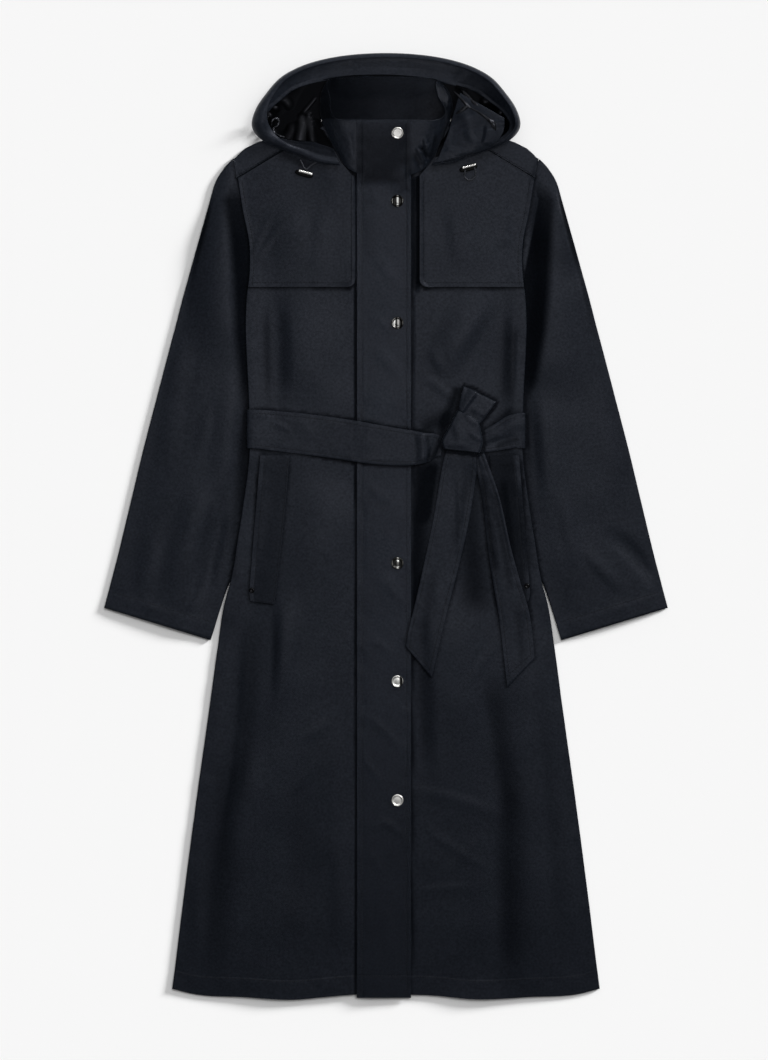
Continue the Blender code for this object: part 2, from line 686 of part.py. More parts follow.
# ---------------------------------------------------------------- placket, pockets, belt
def placket():
    ys = [read(HEM, "x", "y", 0.0) - 4.0] + list(BODY_ROWS[1:-1])
    ys += [466.0, 474.0, 490.0, 508.0, 527.0, COLLAR_TOP - 0.6]
    rows = []
    for y in ys:
        places = (PLACKET_LEFT, -30.0, -12.0, 6.0, 24.0, PLACKET_RIGHT)
        rows.append([(x, y, 0.0) for x in places])
    below = ("front_right", "front_left", "collar")
    rows = lay_on(rows, below, gap=1.6 * GAP)
    for row in rows:
        row[2].z += 0.5
        row[3].z += 0.5
    sheet("placket", rows, CLOTH, "shell_cloth")


def welt(side):
    rows = []
    for section in WELT:
        points = []
        for step in (0.0, 0.33, 0.66, 1.0):
            x = side * mix(section.sewn, section.opening, step) + max(side, 0.0) * WELT_SHIFT
            slope = 0.0 if section is not WELT[-1] else mix(-4.0, 0.0, step)
            points.append((x, section.y + slope, 0.0))
        rows.append(points)
    tag = "left" if side > 0 else "right"
    sheet("pocket_welt_" + tag, lay_on(rows, ("front_" + tag,)), CLOTH, "shell_cloth")


def band_rows(stations, steps, below, gap=1.6 * GAP):
    """A belt stretch that lies on the pieces below, across its middle line."""
    rows = []
    for index, station in enumerate(stations):
        before = stations[max(index - 1, 0)]
        after = stations[min(index + 1, len(stations) - 1)]
        along = Vector((after.x - before.x, after.y - before.y)).normalized()
        across = Vector((-along.y, along.x))
        row = []
        for step in range(steps + 1):
            side = step / steps - 0.5
            slant = getattr(station, "slant", 0.0) * 2.0 * side
            place = Vector((station.x, station.y)) + across * side * station.width
            place += along * slant
            row.append((place.x, place.y, 0.0))
        rows.append(row)
    return lay_on(rows, below, gap)


def wrap_end(rows, side):
    """Carries a belt stretch round the body's side edge and back under it."""
    edge = body_half(BELT_MIDDLE) + 0.4
    last = rows[-1]
    top = max(point.z for point in last)
    low = TUCK_LIFT + DOUBLED
    rows.append([Vector((side * edge, point.y, top)) for point in last])
    for share in (0.75, 0.25):
        rows.append([Vector((side * (edge + 1.2), point.y, mix(low, top, share))) for point in last])
    for x in (edge, edge - EDGE_FLAT + 0.4):
        rows.append([Vector((side * x, point.y, low)) for point in last])
    return rows


PANELS = ("front_right", "front_left", "placket", "pocket_welt_right", "pocket_welt_left")


def belt():
    front = wrap_end(band_rows(BELT_FRONT, 4, PANELS), -1)
    side = wrap_end(band_rows(BELT_SIDE, 4, PANELS), 1)
    sheet("belt_front_run", front, DOUBLED, "shell_cloth")
    sheet("belt_side_run", side, DOUBLED, "shell_cloth")
    below = PANELS + ("belt_side_run",)
    sheet("belt_tail_back", band_rows(TAIL_BACK, 4, below), DOUBLED, "shell_cloth")
    below = PANELS + ("belt_front_run", "belt_side_run", "belt_tail_back")
    sheet("belt_tail_front", band_rows(TAIL_FRONT, 4, below), DOUBLED, "shell_cloth")
    below = below + ("belt_tail_front",)
    belt_loop(below)
    belt_knot(below + ("belt_loop",))


def belt_loop(below):
    """Half bow: a doubled strip that goes out, turns over at its far fold and comes back."""
    low = []
    for row in LOOP:
        points = []
        for step in (0.0, 0.25, 0.5, 0.75, 1.0):
            points.append((mix(row.left_x, row.right_x, step),
                           mix(row.left_y, row.right_y, step), 0.0))
        low.append(points)
    low = lay_on(low, below)
    out = (Vector((low[-1][2].x, low[-1][2].y, 0)) - Vector((low[0][2].x, low[0][2].y, 0)))
    out.normalize()
    start = max(point.z for row in low for point in row)
    rows = [[Vector((p.x, p.y, start + DOUBLED)) for p in row] for row in low]
    for ahead, height in ((2.2, 1.0), (2.2, 3.0)):
        rows.append([Vector((p.x, p.y, start + DOUBLED + height)) + out * ahead for p in low[-1]])
    for index, row in enumerate(reversed(low)):
        pleat = (0.0, 1.6, -0.4, 1.8, 0.0)
        rows.append([Vector((p.x, p.y, start + DOUBLED + 4.0 + rise * min(1.0, 0.4 * index)))
                     for p, rise in zip(row, pleat)])
    sheet("belt_loop", rows, DOUBLED, "shell_cloth", facing=(0, 0, -1))


def belt_knot(below):
    """Knot: one stretch of belt domed over the ends that it holds."""
    rows = []
    for row in KNOT:
        points = []
        for step in (0.0, 0.2, 0.4, 0.6, 0.8, 1.0):
            points.append((mix(row.left, row.right, step), row.y + 3.0 * (step - 0.5), 0.0))
        rows.append(points)
    rows = lay_on(rows, below)
    height = max(point.z for row in rows for point in row)
    for row, shape in zip(rows, KNOT):
        for index, point in enumerate(row):
            crown = shape.dome * math.sin(math.pi * index / 5)
            point.z = max(point.z, mix(point.z, height, 0.8)) + crown
    sheet("belt_knot", rows, 2.0, "shell_cloth")


# ---------------------------------------------------------------- metal, plastic and cord
def disc(name, x, y, radius, height, below, material):
    """A turned cap with a raised rim, set square on the cloth below."""
    tree = SURFACES[below][0]
    hit, normal, _, _ = tree.ray_cast(Vector((x, y, 500.0)), Vector((0, 0, -1)))
    if normal.z < 0:
        normal = -normal
    highest = 0.0
    for step in range(24):
        out = Vector((math.cos(math.tau * step / 24), math.sin(math.tau * step / 24), 0.0))
        for share in (0.5, 1.0):
            above = Vector((x, y, 500.0)) + out * radius * share
            rim = tree.ray_cast(above, Vector((0, 0, -1)))[0]
            if rim is not None:
                highest = max(highest, (rim - hit).dot(normal))
    profile = (
        (0.0, 0.55 * height), (0.62 * radius, 0.62 * height), (0.74 * radius, height),
        (0.90 * radius, height), (radius, 0.55 * height), (0.92 * radius, 0.0), (0.0, 0.0),
    )
    mesh = bpy.data.meshes.new(name)
    turned = bmesh.new()
    verts = [turned.verts.new((r * MM, 0.0, z * MM)) for r, z in profile]
    for a, b in zip(verts, verts[1:]):
        turned.edges.new((a, b))
    bmesh.ops.spin(turned, geom=turned.verts[:] + turned.edges[:], cent=(0, 0, 0),
                   axis=(0, 0, 1), angle=math.tau, steps=20, use_merge=True)
    bmesh.ops.remove_doubles(turned, verts=turned.verts, dist=0.00001)
    bmesh.ops.recalc_face_normals(turned, faces=turned.faces)
    turned.to_mesh(mesh)
    turned.free()
    obj = bpy.data.objects.new(name, mesh)
    coat.objects.link(obj)
    turn = Vector((0, 0, 1)).rotation_difference(normal).to_matrix().to_4x4()
    seat = hit + normal * (highest + GAP)
    obj.matrix_world = Matrix.Translation(seat * MM) @ turn
    return finish(obj, material)


def rod(name, x, y, z, radius, length, angle, material, sides=16):
    """A round bar lying at an angle, with rounded ends."""
    mesh = bpy.data.meshes.new(name)
    bar = bmesh.new()
    bmesh.ops.create_cone(bar, cap_ends=True, segments=sides, radius1=radius * MM,
                          radius2=radius * MM, depth=length * MM)
    bar.to_mesh(mesh)
    bar.free()
    obj = bpy.data.objects.new(name, mesh)
    coat.objects.link(obj)
    turn = Matrix.Rotation(math.radians(angle), 4, "Z") @ Matrix.Rotation(math.pi / 2, 4, "Y")
    obj.matrix_world = Matrix.Translation(Vector((x, y, z)) * MM) @ turn
    edge = obj.modifiers.new("edge", "BEVEL")
    edge.width = 0.18 * radius * MM
    edge.segments = 1
    return finish(obj, material, smooth=False)


def cord(name, route):
    """A short stretch of drawcord on a smooth curve through the route's points."""
    points = [Vector(p) for p in route]
    ends = [2 * points[0] - points[1]] + points + [2 * points[-1] - points[-2]]
    smooth = []
    for index in range(len(points) - 1):
        for step in range(4):
            smooth.append(round_mid(ends[index:index + 4], step / 4))
    smooth.append(points[-1])
    data = bpy.data.curves.new(name, "CURVE")
    data.dimensions = "3D"
    data.bevel_depth = 0.5 * CORD_DIAMETER * MM
    data.bevel_resolution = 2
    data.use_fill_caps = True
    line = data.splines.new("POLY")
    line.points.add(len(smooth) - 1)
    for slot, place in zip(line.points, smooth):
        slot.co = (place.x * MM, place.y * MM, place.z * MM, 1.0)
    obj = bpy.data.objects.new(name, data)
    coat.objects.link(obj)
    data.materials.append(MATERIALS["black_cord"])
    obj.parent = root


def pill(name, x, y, z, size, angle, material):
    """A flat moulded block with well rounded edges."""
    mesh = bpy.data.meshes.new(name)
    block = bmesh.new()
    bmesh.ops.create_cube(block, size=1.0)
    bmesh.ops.scale(block, vec=Vector(size) * MM, verts=block.verts)
    block.to_mesh(mesh)
    block.free()
    obj = bpy.data.objects.new(name, mesh)
    coat.objects.link(obj)
    turn = Matrix.Rotation(math.radians(angle), 4, "Z")
    obj.matrix_world = Matrix.Translation(Vector((x, y, z)) * MM) @ turn
    edge = obj.modifiers.new("edge", "BEVEL")
    edge.width = 0.45 * size[2] * MM
    edge.segments = 2
    return finish(obj, material)


def toggles():
    """Drawcord fittings: a metal bar on a black stop, and the cord's short loop."""
    for toggle in TOGGLES:
        flap = ("storm_flap_" + toggle.side,)
        turn = math.radians(toggle.angle)
        along = Vector((math.cos(turn), math.sin(turn)))
        back = Vector((math.sin(turn), -math.cos(turn)))
        floor = max(top_at(toggle.x + along.x * u + back.x * v, toggle.y + along.y * u + back.y * v,
                           flap) for u in (-14, -7, 0, 7, 14) for v in (-4, 0, 6))
        stop = Vector((toggle.x, toggle.y)) + 2.2 * back - 1.5 * along
        pill("toggle_stop_" + toggle.side, stop.x, stop.y, floor + GAP + 1.7, (25.0, 8.0, 3.4),
             toggle.angle, "black_plastic")
        rod("toggle_bar_" + toggle.side, toggle.x, toggle.y, floor + 2 * GAP + 3.4 + 2.3, 2.3,
            19.5, toggle.angle, "snap_metal")
        route = [(p.x, p.y, floor + GAP + p.up) for p in CORDS[toggle.side]]
        cord("drawcord_" + toggle.side, route)


belt_back()
for end in (-1, 1):
    sleeve(end)
sheet("back_panel", back_rows(), CLOTH, "shell_cloth")
for end in (-1, 1):
    sheet("front_left" if end > 0 else "front_right", lay_on(front_rows(end), ("back_panel",)),
          CLOTH, "shell_cloth")
    yoke(end)
for end in (-1, 1):
    storm_flap(end)
hood()
collar()
hood_corner()
placket()
for end in (-1, 1):
    welt(end)
belt()
for number, height in enumerate(SNAP_HEIGHTS, start=1):
    disc("snap_%d" % number, SNAP_X, height, SNAP_RADIUS, SNAP_HEIGHT, "placket", "snap_metal")
for rivet in RIVETS:
    disc("pocket_rivet_" + rivet.side, rivet.x, rivet.y, RIVET_RADIUS, 2.0,
         "pocket_welt_" + rivet.side, "snap_metal")
toggles()
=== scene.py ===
"""Looks of a hooded raincoat laid flat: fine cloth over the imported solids, seams, fittings, light.

Frame: +Y runs from hem to hood, +X is the wearer's left, +Z is up. Tables are in millimetres.
"""

import json
import math
from collections import namedtuple

import bmesh
import bpy
import numpy as np
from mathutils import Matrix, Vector
from mathutils.bvhtree import BVHTree

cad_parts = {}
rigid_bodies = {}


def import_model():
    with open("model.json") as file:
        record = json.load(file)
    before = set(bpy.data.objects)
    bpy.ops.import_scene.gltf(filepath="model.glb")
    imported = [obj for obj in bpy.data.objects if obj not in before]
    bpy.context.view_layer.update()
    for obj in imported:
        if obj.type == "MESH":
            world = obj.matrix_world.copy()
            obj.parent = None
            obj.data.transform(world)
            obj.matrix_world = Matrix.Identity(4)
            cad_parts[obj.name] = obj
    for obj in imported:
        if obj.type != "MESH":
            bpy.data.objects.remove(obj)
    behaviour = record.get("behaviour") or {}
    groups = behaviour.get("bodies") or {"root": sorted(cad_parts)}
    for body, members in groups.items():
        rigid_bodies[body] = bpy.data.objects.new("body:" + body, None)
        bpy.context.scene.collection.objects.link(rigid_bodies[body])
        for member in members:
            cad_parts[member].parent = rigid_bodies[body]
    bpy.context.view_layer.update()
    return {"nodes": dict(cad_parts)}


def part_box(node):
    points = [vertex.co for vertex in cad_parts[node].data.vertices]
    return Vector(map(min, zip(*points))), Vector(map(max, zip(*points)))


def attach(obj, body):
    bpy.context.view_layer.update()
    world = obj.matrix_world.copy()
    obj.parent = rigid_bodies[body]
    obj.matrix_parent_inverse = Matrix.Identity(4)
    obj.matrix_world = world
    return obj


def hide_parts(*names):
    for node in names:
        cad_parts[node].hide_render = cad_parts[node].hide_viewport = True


for leftover in list(bpy.data.objects):
    bpy.data.objects.remove(leftover)
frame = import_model()
MM = 0.001
TAGS = {1: "left", -1: "right"}


def table(columns, *rows):
    """Rows with named columns; every number becomes a float."""
    row_type = namedtuple("Row", columns)
    return [row_type(*(value if isinstance(value, str) else float(value) for value in row))
            for row in rows]


def folds(*rows):
    """Rows for creases(): a line, its widths on either side, height, bend and fading ends."""
    return table("x0 y0 x1 y1 left right rise bend fade", *rows)


def column(rows, name):
    return np.array([getattr(row, name) for row in rows], float)


def columns_of(rows, names):
    """Several columns, side by side in the last axis."""
    return np.stack([column(rows, name) for name in names.split()], -1)


# ---------------------------------------------------------------- camera
LENS, SENSOR_WIDTH = 250.0, 36.0
VIEW_HEIGHT = 1.431
camera_data = bpy.data.cameras.new("camera")
camera_data.lens = LENS
camera_data.sensor_width = SENSOR_WIDTH
camera_data.clip_end = 100.0
camera = bpy.data.objects.new("camera", camera_data)
bpy.context.scene.collection.objects.link(camera)
camera.location = (-0.0027, -0.0047, LENS / SENSOR_WIDTH * VIEW_HEIGHT)
bpy.context.scene.camera = camera
bpy.context.scene.view_settings.view_transform = "Standard"


# ---------------------------------------------------------------- sizes shared with the solids
CLOTH = 1.0
GAP = 0.3
LEFT_EDGE = -26.0
RIGHT_EDGE = -33.5
FLAP_EDGES = {1: 45.0, -1: 41.0}
FLAP_HEM = 323.0
PLACKET_LEFT, PLACKET_RIGHT = -39.5, 33.8
COLLAR_TOP = 547.0
HEM_END = -624.0
BODY_SHOULDER = 470.0
BODY_TOP = 498.0
BODY_SIDE = table(
    "y half",
    (-624, 287.6), (-504, 272.7), (-369, 255), (-234, 236), (-166.7, 226.8), (-99, 216),
    (-74.9, 209.3), (-19.6, 199.8), (29, 192.2), (96.5, 183.8), (157.3, 184.3), (305.8, 187.7),
    (346, 183.6), (380, 184), (427, 193), (470.5, 199.8), (498, 203),
)
HEM = table(
    "x y",
    (-287.6, -624), (-262, -630.5), (-193, -635), (-122, -638.5), (-82, -635), (-38, -631.5),
    (0, -632), (57, -632.5), (122, -638), (193, -635), (262, -630.5), (287.6, -624),
)
FRONT_TOP = table(
    "half y",
    (0, 469), (33, 470), (46, 474), (61, 492), (74, 514), (83, 541), (199.8, 470),
)
BACK_TOP = table(
    "half y",
    (0, 536), (60, 540), (84, 547), (174, 517.7), (190, 509.6), (203, 498),
)
SLEEVE = table(
    "outer_x outer_y inner_x inner_y",
    (207, 495.5, 203.6, 489), (217.4, 484, 201.2, 476), (229, 465, 198.2, 452),
    (237, 438, 193.8, 427), (246, 406, 188.9, 402), (255.2, 373.3, 185.3, 372),
    (264.6, 339.5, 185.1, 340), (273.6, 307, 188.2, 306), (282.3, 273, 181, 274),
    (291.6, 238.3, 178, 234), (309.2, 170.8, 176, 160), (326.7, 103.3, 176.5, 86),
    (342.9, 35.8, 186, 16), (359.1, -31.7, 201, -52), (369.5, -72, 216, -86),
    (379.4, -110, 237.6, -153.2),
)


# ---------------------------------------------------------------- numbers on a raster
STEP = 2.0
XS = np.arange(-400.0, 401.0, STEP)
YS = np.arange(-660.0, 661.0, STEP)


def ease(value, start, end):
    """0 at `start`, 1 at `end`, smooth between."""
    share = np.clip((value - start) / (end - start), 0.0, 1.0)
    return share * share * (3.0 - 2.0 * share)


def mix(a, b, share):
    return a + (b - a) * share


def curve(rows, key, name, at):
    """A column read at places along the key column, on a smooth curve through the rows."""
    x, y = column(rows, key), column(rows, name)
    slope = np.gradient(y, x)
    i = np.clip(np.searchsorted(x, at) - 1, 0, len(x) - 2)
    span = x[i + 1] - x[i]
    t = np.clip((at - x[i]) / span, 0.0, 1.0)
    return ((2 * t ** 3 - 3 * t ** 2 + 1) * y[i] + (t ** 3 - 2 * t ** 2 + t) * span * slope[i]
            + (3 * t ** 2 - 2 * t ** 3) * y[i + 1] + (t ** 3 - t ** 2) * span * slope[i + 1])


def straight(rows, key, name, at):
    return np.interp(at, column(rows, key), column(rows, name))


def along(rows, name, at):
    """A column read at row numbers, on a smooth curve through the rows."""
    numbered = table("n value", *enumerate(column(rows, name)))
    return curve(numbered, "n", "value", at)


def sample(field, x, y):
    """Bilinear value of a raster at points."""
    u = np.clip((x - XS[0]) / STEP, 0.0, len(XS) - 1.001)
    v = np.clip((y - YS[0]) / STEP, 0.0, len(YS) - 1.001)
    i, j = u.astype(int), v.astype(int)
    fu, fv = u - i, v - j
    return ((field[j, i] * (1 - fu) + field[j, i + 1] * fu) * (1 - fv)
            + (field[j + 1, i] * (1 - fu) + field[j + 1, i + 1] * fu) * fv)


def points_of(obj):
    """An object's points in mm."""
    return np.array([v.co for v in obj.data.vertices]) / MM


def heights(obj):
    """A function that gives the height of an object's own surface at places in plan."""
    tree = BVHTree.FromPolygons([v.co for v in obj.data.vertices],
                                [tuple(p.vertices) for p in obj.data.polygons])
    down = Vector((0, 0, -1))

    def read(x, y):
        hits = [tree.ray_cast(Vector((a * MM, b * MM, 1.0)), down)[0] for a, b in zip(x, y)]
        return np.array([np.nan if hit is None else hit.z / MM for hit in hits])
    return read


def scan(obj):
    """Raster of an object's highest surface, nan where there is none."""
    points = points_of(obj)
    low, high = points.min(0), points.max(0)
    out = np.full((len(YS), len(XS)), np.nan)
    box = np.ix_((YS >= low[1]) & (YS <= high[1]), (XS >= low[0]) & (XS <= high[0]))
    y, x = np.meshgrid(YS, XS, indexing="ij")
    out[box] = heights(obj)(x[box].ravel(), y[box].ravel()).reshape(x[box].shape)
    return out


def beside(field, fill):
    """What lies on the four sides of each place of an array."""
    pad = np.pad(field, 1, constant_values=fill)
    return np.stack([pad[:-2, 1:-1], pad[2:, 1:-1], pad[1:-1, :-2], pad[1:-1, 2:]])


def patch(field, rounds=24):
    """Fills an array outwards from where it has values."""
    out = field.copy()
    for _ in range(rounds):
        around = beside(out, np.nan)
        known = ~np.isnan(around)
        count = known.sum(0)
        total = np.where(known, around, 0.0).sum(0)
        fill = np.isnan(out) & (count > 0)
        out[fill] = total[fill] / count[fill]
    return out


def blur(field, sigma):
    """Gaussian blur of a raster; sigma in mm."""
    reach = int(math.ceil(2.5 * sigma / STEP))
    taps = np.exp(-0.5 * (np.arange(-reach, reach + 1) * STEP / sigma) ** 2)
    taps /= taps.sum()
    out = field
    for axis in (0, 1):
        pad = [(0, 0), (0, 0)]
        pad[axis] = (reach, reach)
        wide = np.pad(out, pad, mode="edge")
        size = out.shape[axis]
        out = sum(t * np.take(wide, np.arange(k, k + size), axis) for k, t in enumerate(taps))
    return out


def unevenness(scale, seed):
    """Smooth random raster about zero, of unit strength."""
    draws = np.random.default_rng(seed).standard_normal((len(YS), len(XS)))
    smooth = blur(draws, scale)
    return smooth / smooth.std()


TOP = np.zeros((len(YS), len(XS)))      # highest cloth so far, at each place
SOFT = 0.55 * unevenness(46.0, 3) + 0.3 * unevenness(20.0, 4)
PUCKER = unevenness(6.0, 5)


def solid_top(*nodes, sigma=7.0):
    """Smoothed top of the named solids, carried on past their edges."""
    tops = [scan(frame["nodes"][name]) for name in nodes]
    return blur(np.nan_to_num(patch(np.fmax.reduce(tops))), sigma)


def cover(obj):
    """Adds a finished piece, one step wider all round, to the raster of the highest cloth."""
    top = np.nan_to_num(scan(obj))
    TOP[:] = np.maximum.reduce([TOP, top, beside(top, 0.0).max(0)])


# ---------------------------------------------------------------- creases
def creases(x, y, rows):
    """Height of soft ridges and troughs: each along a line, with its own width on either side."""
    total = np.zeros_like(x)
    for row in rows:
        ax, ay = row.x1 - row.x0, row.y1 - row.y0
        length = math.hypot(ax, ay)
        ax, ay = ax / length, ay / length
        run = (x - row.x0) * ax + (y - row.y0) * ay
        off = (x - row.x0) * -ay + (y - row.y0) * ax
        off = off - row.bend * 4.0 * run / length * (1.0 - run / length)
        width = np.where(off > 0.0, row.left, row.right)
        away = np.clip(np.abs(off) / width, 0.0, 1.0)
        tip = row.fade * length
        ends = ease(run, 0.0, tip) * ease(run, length, length - tip)
        total += row.rise * ends * (0.5 + 0.5 * np.cos(math.pi * away))
    return total


# ---------------------------------------------------------------- materials
def new_material(name):
    material = bpy.data.materials.new(name)
    material.use_nodes = True
    return material


def shader_of(material):
    return material.node_tree.nodes["Principled BSDF"]


def feed(owner, node, inputs):
    """Gives a node's inputs their values, or links them to outputs of other nodes."""
    for name, value in inputs.items():
        if isinstance(value, bpy.types.NodeSocket):
            owner.node_tree.links.new(value, node.inputs[name])
        else:
            node.inputs[name].default_value = value


def add_node(owner, kind, inputs=(), **settings):
    """Adds a shader node and returns its outputs."""
    node = owner.node_tree.nodes.new("ShaderNode" + kind)
    for name, value in settings.items():
        setattr(node, name, value)
    feed(owner, node, dict(inputs))
    return node.outputs


def noise(owner, place, scale, detail, **more):
    return add_node(owner, "TexNoise", {"Vector": place, "Scale": scale, "Detail": detail,
                                        **more})["Fac"]


def spread(owner, value, low, high, start=0.0, end=1.0):
    """Carries a value from one range to another."""
    return add_node(owner, "MapRange", {"Value": value, "From Min": start, "From Max": end,
                                        "To Min": low, "To Max": high})["Result"]


def combine(owner, operation, first, second):
    return add_node(owner, "Math", {0: first, 1: second}, operation=operation)["Value"]


def bump(owner, height, strength, distance, **more):
    return add_node(owner, "Bump", {"Height": height, "Strength": strength,
                                    "Distance": distance, **more})["Normal"]


GLOSS_TINT = (0.83, 0.86, 1.0, 1.0)
MOTTLE, FLECK = 0.16, 0.22
SHADED_COLOUR, SHADED_GLOSS = 0.3, 0.08


def cloth(name, colour, rough, sheen, weave, crumple, specular=0.5):
    """Twill: fine diagonal ribs, soft mottling and a low sheen."""
    material = new_material(name)
    place = add_node(material, "TexCoord")["Object"]
    mottle = spread(material, noise(material, place, 14.0, 6.0), 1.0 - MOTTLE, 1.0 + MOTTLE)
    flecks = spread(material, noise(material, place, 320.0, 4.0), 1.0 - FLECK, 1.0 + FLECK,
                    0.3, 0.7)
    tone = add_node(material, "VectorMath", {
        0: colour, "Scale": combine(material, "MULTIPLY", mottle, flecks)}, operation="SCALE")
    ripple = bump(material, noise(material, place, 150.0, 3.0), crumple * 0.8, 0.0007)
    wrinkle = bump(material, noise(material, place, 38.0, 5.0, Roughness=0.55), crumple, 0.0022,
                   Normal=ripple)
    ribs = add_node(material, "TexWave", {
        "Vector": place, "Scale": 420.0, "Distortion": 1.2, "Detail": 2.0, "Detail Scale": 3.0,
    }, wave_type="BANDS", bands_direction="DIAGONAL")
    grain = noise(material, place, 900.0, 3.0)
    thread = bump(material, combine(material, "ADD", ribs["Fac"], grain), weave, 0.00035,
                  Normal=wrinkle)
    feed(material, shader_of(material), {
        "Base Color": tone["Vector"], "Roughness": rough, "Specular IOR Level": specular,
        "Specular Tint": GLOSS_TINT, "Sheen Weight": sheen, "Sheen Roughness": 0.45,
        "Sheen Tint": (0.6, 0.68, 0.85, 1.0), "Normal": thread})
    return material


def paint_highlights_by_point(material, low, high):
    """Painted highlight: a number at each point of a mesh raises the material's gloss there."""
    amount = add_node(material, "Attribute", attribute_name="shine")["Fac"]
    feed(material, shader_of(material), {"Specular IOR Level": spread(material, amount, low, high)})


def shaded_by_point(material, gloss):
    """Lets a mesh's `shade` darken the cloth, from 0 as it is to 1."""
    shader = shader_of(material)
    amount = add_node(material, "Attribute", attribute_name="shade")["Fac"]
    base = shader.inputs["Base Color"].links[0].from_node
    tone = base.inputs["Scale"].links[0].from_socket
    keep = spread(material, amount, 1.0, SHADED_COLOUR)
    feed(material, base, {"Scale": combine(material, "MULTIPLY", tone, keep)})
    dim = spread(material, amount, gloss, gloss * SHADED_GLOSS)
    feed(material, shader, {"Specular IOR Level": combine(material, "MULTIPLY", tone, dim)})


def plain(name, colour, rough, metallic=0.0, rise=0.15, specular=0.5):
    """Metal, moulding or thread, with fine grain in its gloss."""
    material = new_material(name)
    grain = noise(material, add_node(material, "TexCoord")["Object"], 700.0, 4.0)
    feed(material, shader_of(material), {
        "Base Color": (*colour, 1.0), "Metallic": metallic, "Specular IOR Level": specular,
        "Roughness": spread(material, grain, rough * 0.8, rough * 1.25),
        "Normal": bump(material, grain, rise, 0.0002)})
    return material


SHELL = cloth("navy_twill", (0.0050, 0.0066, 0.0100), 0.42, 0.03, 0.1, 0.16, specular=0.16)
LINING = cloth("black_satin", (0.0004, 0.0005, 0.0007), 0.34, 0.0, 0.03, 0.1, specular=0.02)
# a lighter, glossier copy of the black satin for its gathers: a painted highlight
SATIN = cloth("black_satin_sheen", (0.0008, 0.0009, 0.0012), 0.24, 0.0, 0.03, 0.1, specular=0.30)
paint_highlights_by_point(LINING, 0.02, 0.18)
shaded_by_point(SHELL, 0.13)
CORD = cloth("black_braid", (0.006, 0.0065, 0.008), 0.6, 0.1, 0.3, 0.1)
THREAD = plain("navy_thread", (0.0035, 0.0042, 0.006), 0.55, specular=0.12)
METAL = plain("nickel", (0.72, 0.71, 0.69), 0.24, metallic=1.0, rise=0.05)
GUNMETAL = plain("gunmetal", (0.010, 0.010, 0.011), 0.22, metallic=1.0, rise=0.02)
PLASTIC = plain("black_moulding", (0.0012, 0.0012, 0.0014), 0.45, specular=0.05)
SNAP_PAINTED_REFLECTIONS = {      # roughness, then the painted reflection: how bright the room looks at places across the cap
    2: (0.12, (0.0, 0.03), (0.08, 0.15), (0.15, 0.003), (0.42, 0.004), (0.47, 0.09),
        (0.56, 0.09), (0.62, 0.004), (0.88, 0.003), (0.94, 0.12), (1.0, 0.03)),
    3: (0.12, (0.0, 0.08), (0.06, 0.14), (0.3, 0.12), (0.36, 0.004), (0.46, 0.004),
        (0.53, 0.06), (0.62, 0.05), (0.68, 0.003), (0.9, 0.003), (0.95, 0.12)),
    4: (0.12, (0.0, 0.1), (0.07, 0.35), (0.15, 0.02), (0.42, 0.03), (0.48, 0.2),
        (0.58, 0.22), (0.65, 0.02), (0.9, 0.02), (0.95, 0.22)),
    5: (0.22, (0.0, 0.45), (0.06, 0.72), (0.42, 0.6), (0.55, 0.72), (0.66, 0.66),
        (0.71, 0.02), (0.87, 0.02), (0.93, 0.4)),
}


def painted_reflection_nickel(name, rough, *reflection_tones):
    """Nickel with a painted reflection of the room: dark, with pale strips across it in its colour.
    """
    material = new_material(name)
    place = add_node(material, "TexCoord")["Generated"]
    ramp = material.node_tree.nodes.new("ShaderNodeValToRGB")
    stops = ramp.color_ramp.elements
    while len(stops) < len(reflection_tones):
        stops.new(0.5)
    for stop, (across, _) in zip(stops, reflection_tones):
        stop.position = across
    for stop, (_, tone) in zip(stops, reflection_tones):
        stop.color = (tone, tone, tone * 0.97, 1.0)
    feed(material, ramp, {"Fac": add_node(material, "SeparateXYZ", {"Vector": place})["X"]})
    feed(material, shader_of(material), {
        "Metallic": 1.0, "Roughness": rough, "Base Color": ramp.outputs["Color"]})
    return material


# ---------------------------------------------------------------- making pieces
def mesh_piece(name, points, faces, material, nodes=()):
    """A piece from points in mm, riding on the coat and standing for solids."""
    mesh = bpy.data.meshes.new(name)
    mesh.from_pydata((np.asarray(points) * MM).tolist(), [], faces)
    mesh.materials.append(material)
    mesh.shade_smooth()
    obj = bpy.data.objects.new(name, mesh)
    bpy.context.scene.collection.objects.link(obj)
    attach(obj, "root")
    if nodes:
        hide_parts(*nodes)
    return obj


def cloth_piece(name, points, *nodes, flip=False, wrap=False, material=SHELL,
                slot="shell_cloth"):
    """A piece of cloth from a grid of points in mm."""
    faces = grid_faces(*points.shape[:2], wrap=wrap, flip=flip)
    return mesh_piece(name, points.reshape(-1, 3), faces, material, nodes)


def by_point(obj, name, amounts):
    """Stores a number at each point of a mesh, for its material."""
    layers = obj.data.attributes
    layer = layers[name] if name in layers else layers.new(name, "FLOAT", "POINT")
    layer.data.foreach_set("value", np.asarray(amounts, np.float32).ravel())


def grid_faces(rows, columns, wrap=False, flip=False):
    r, c = np.meshgrid(np.arange(rows - 1), np.arange(columns if wrap else columns - 1),
                       indexing="ij")
    a, b = r * columns + c, r * columns + (c + 1) % columns
    quads = np.stack([a, b, b + columns, a + columns], -1).reshape(-1, 4)
    return (quads[:, ::-1] if flip else quads).tolist()


def tube_faces(rows, columns):
    """Faces of a tube with a cap at each end."""
    caps = [list(range(columns))[::-1], list(range((rows - 1) * columns, rows * columns))]
    return grid_faces(rows, columns, wrap=True) + caps


def rolled(edge, turns, out_x, out_y, drop):
    """Copies of an edge that turn over and under it; turns in degrees."""
    x, y, z = edge.T
    rows = []
    for turn in turns:
        a = math.radians(turn)
        rows.append(np.stack([x + out_x * math.sin(a), y + out_y * math.sin(a),
                              z - drop * (1.0 - math.cos(a))], -1))
    return np.stack(rows, 1)


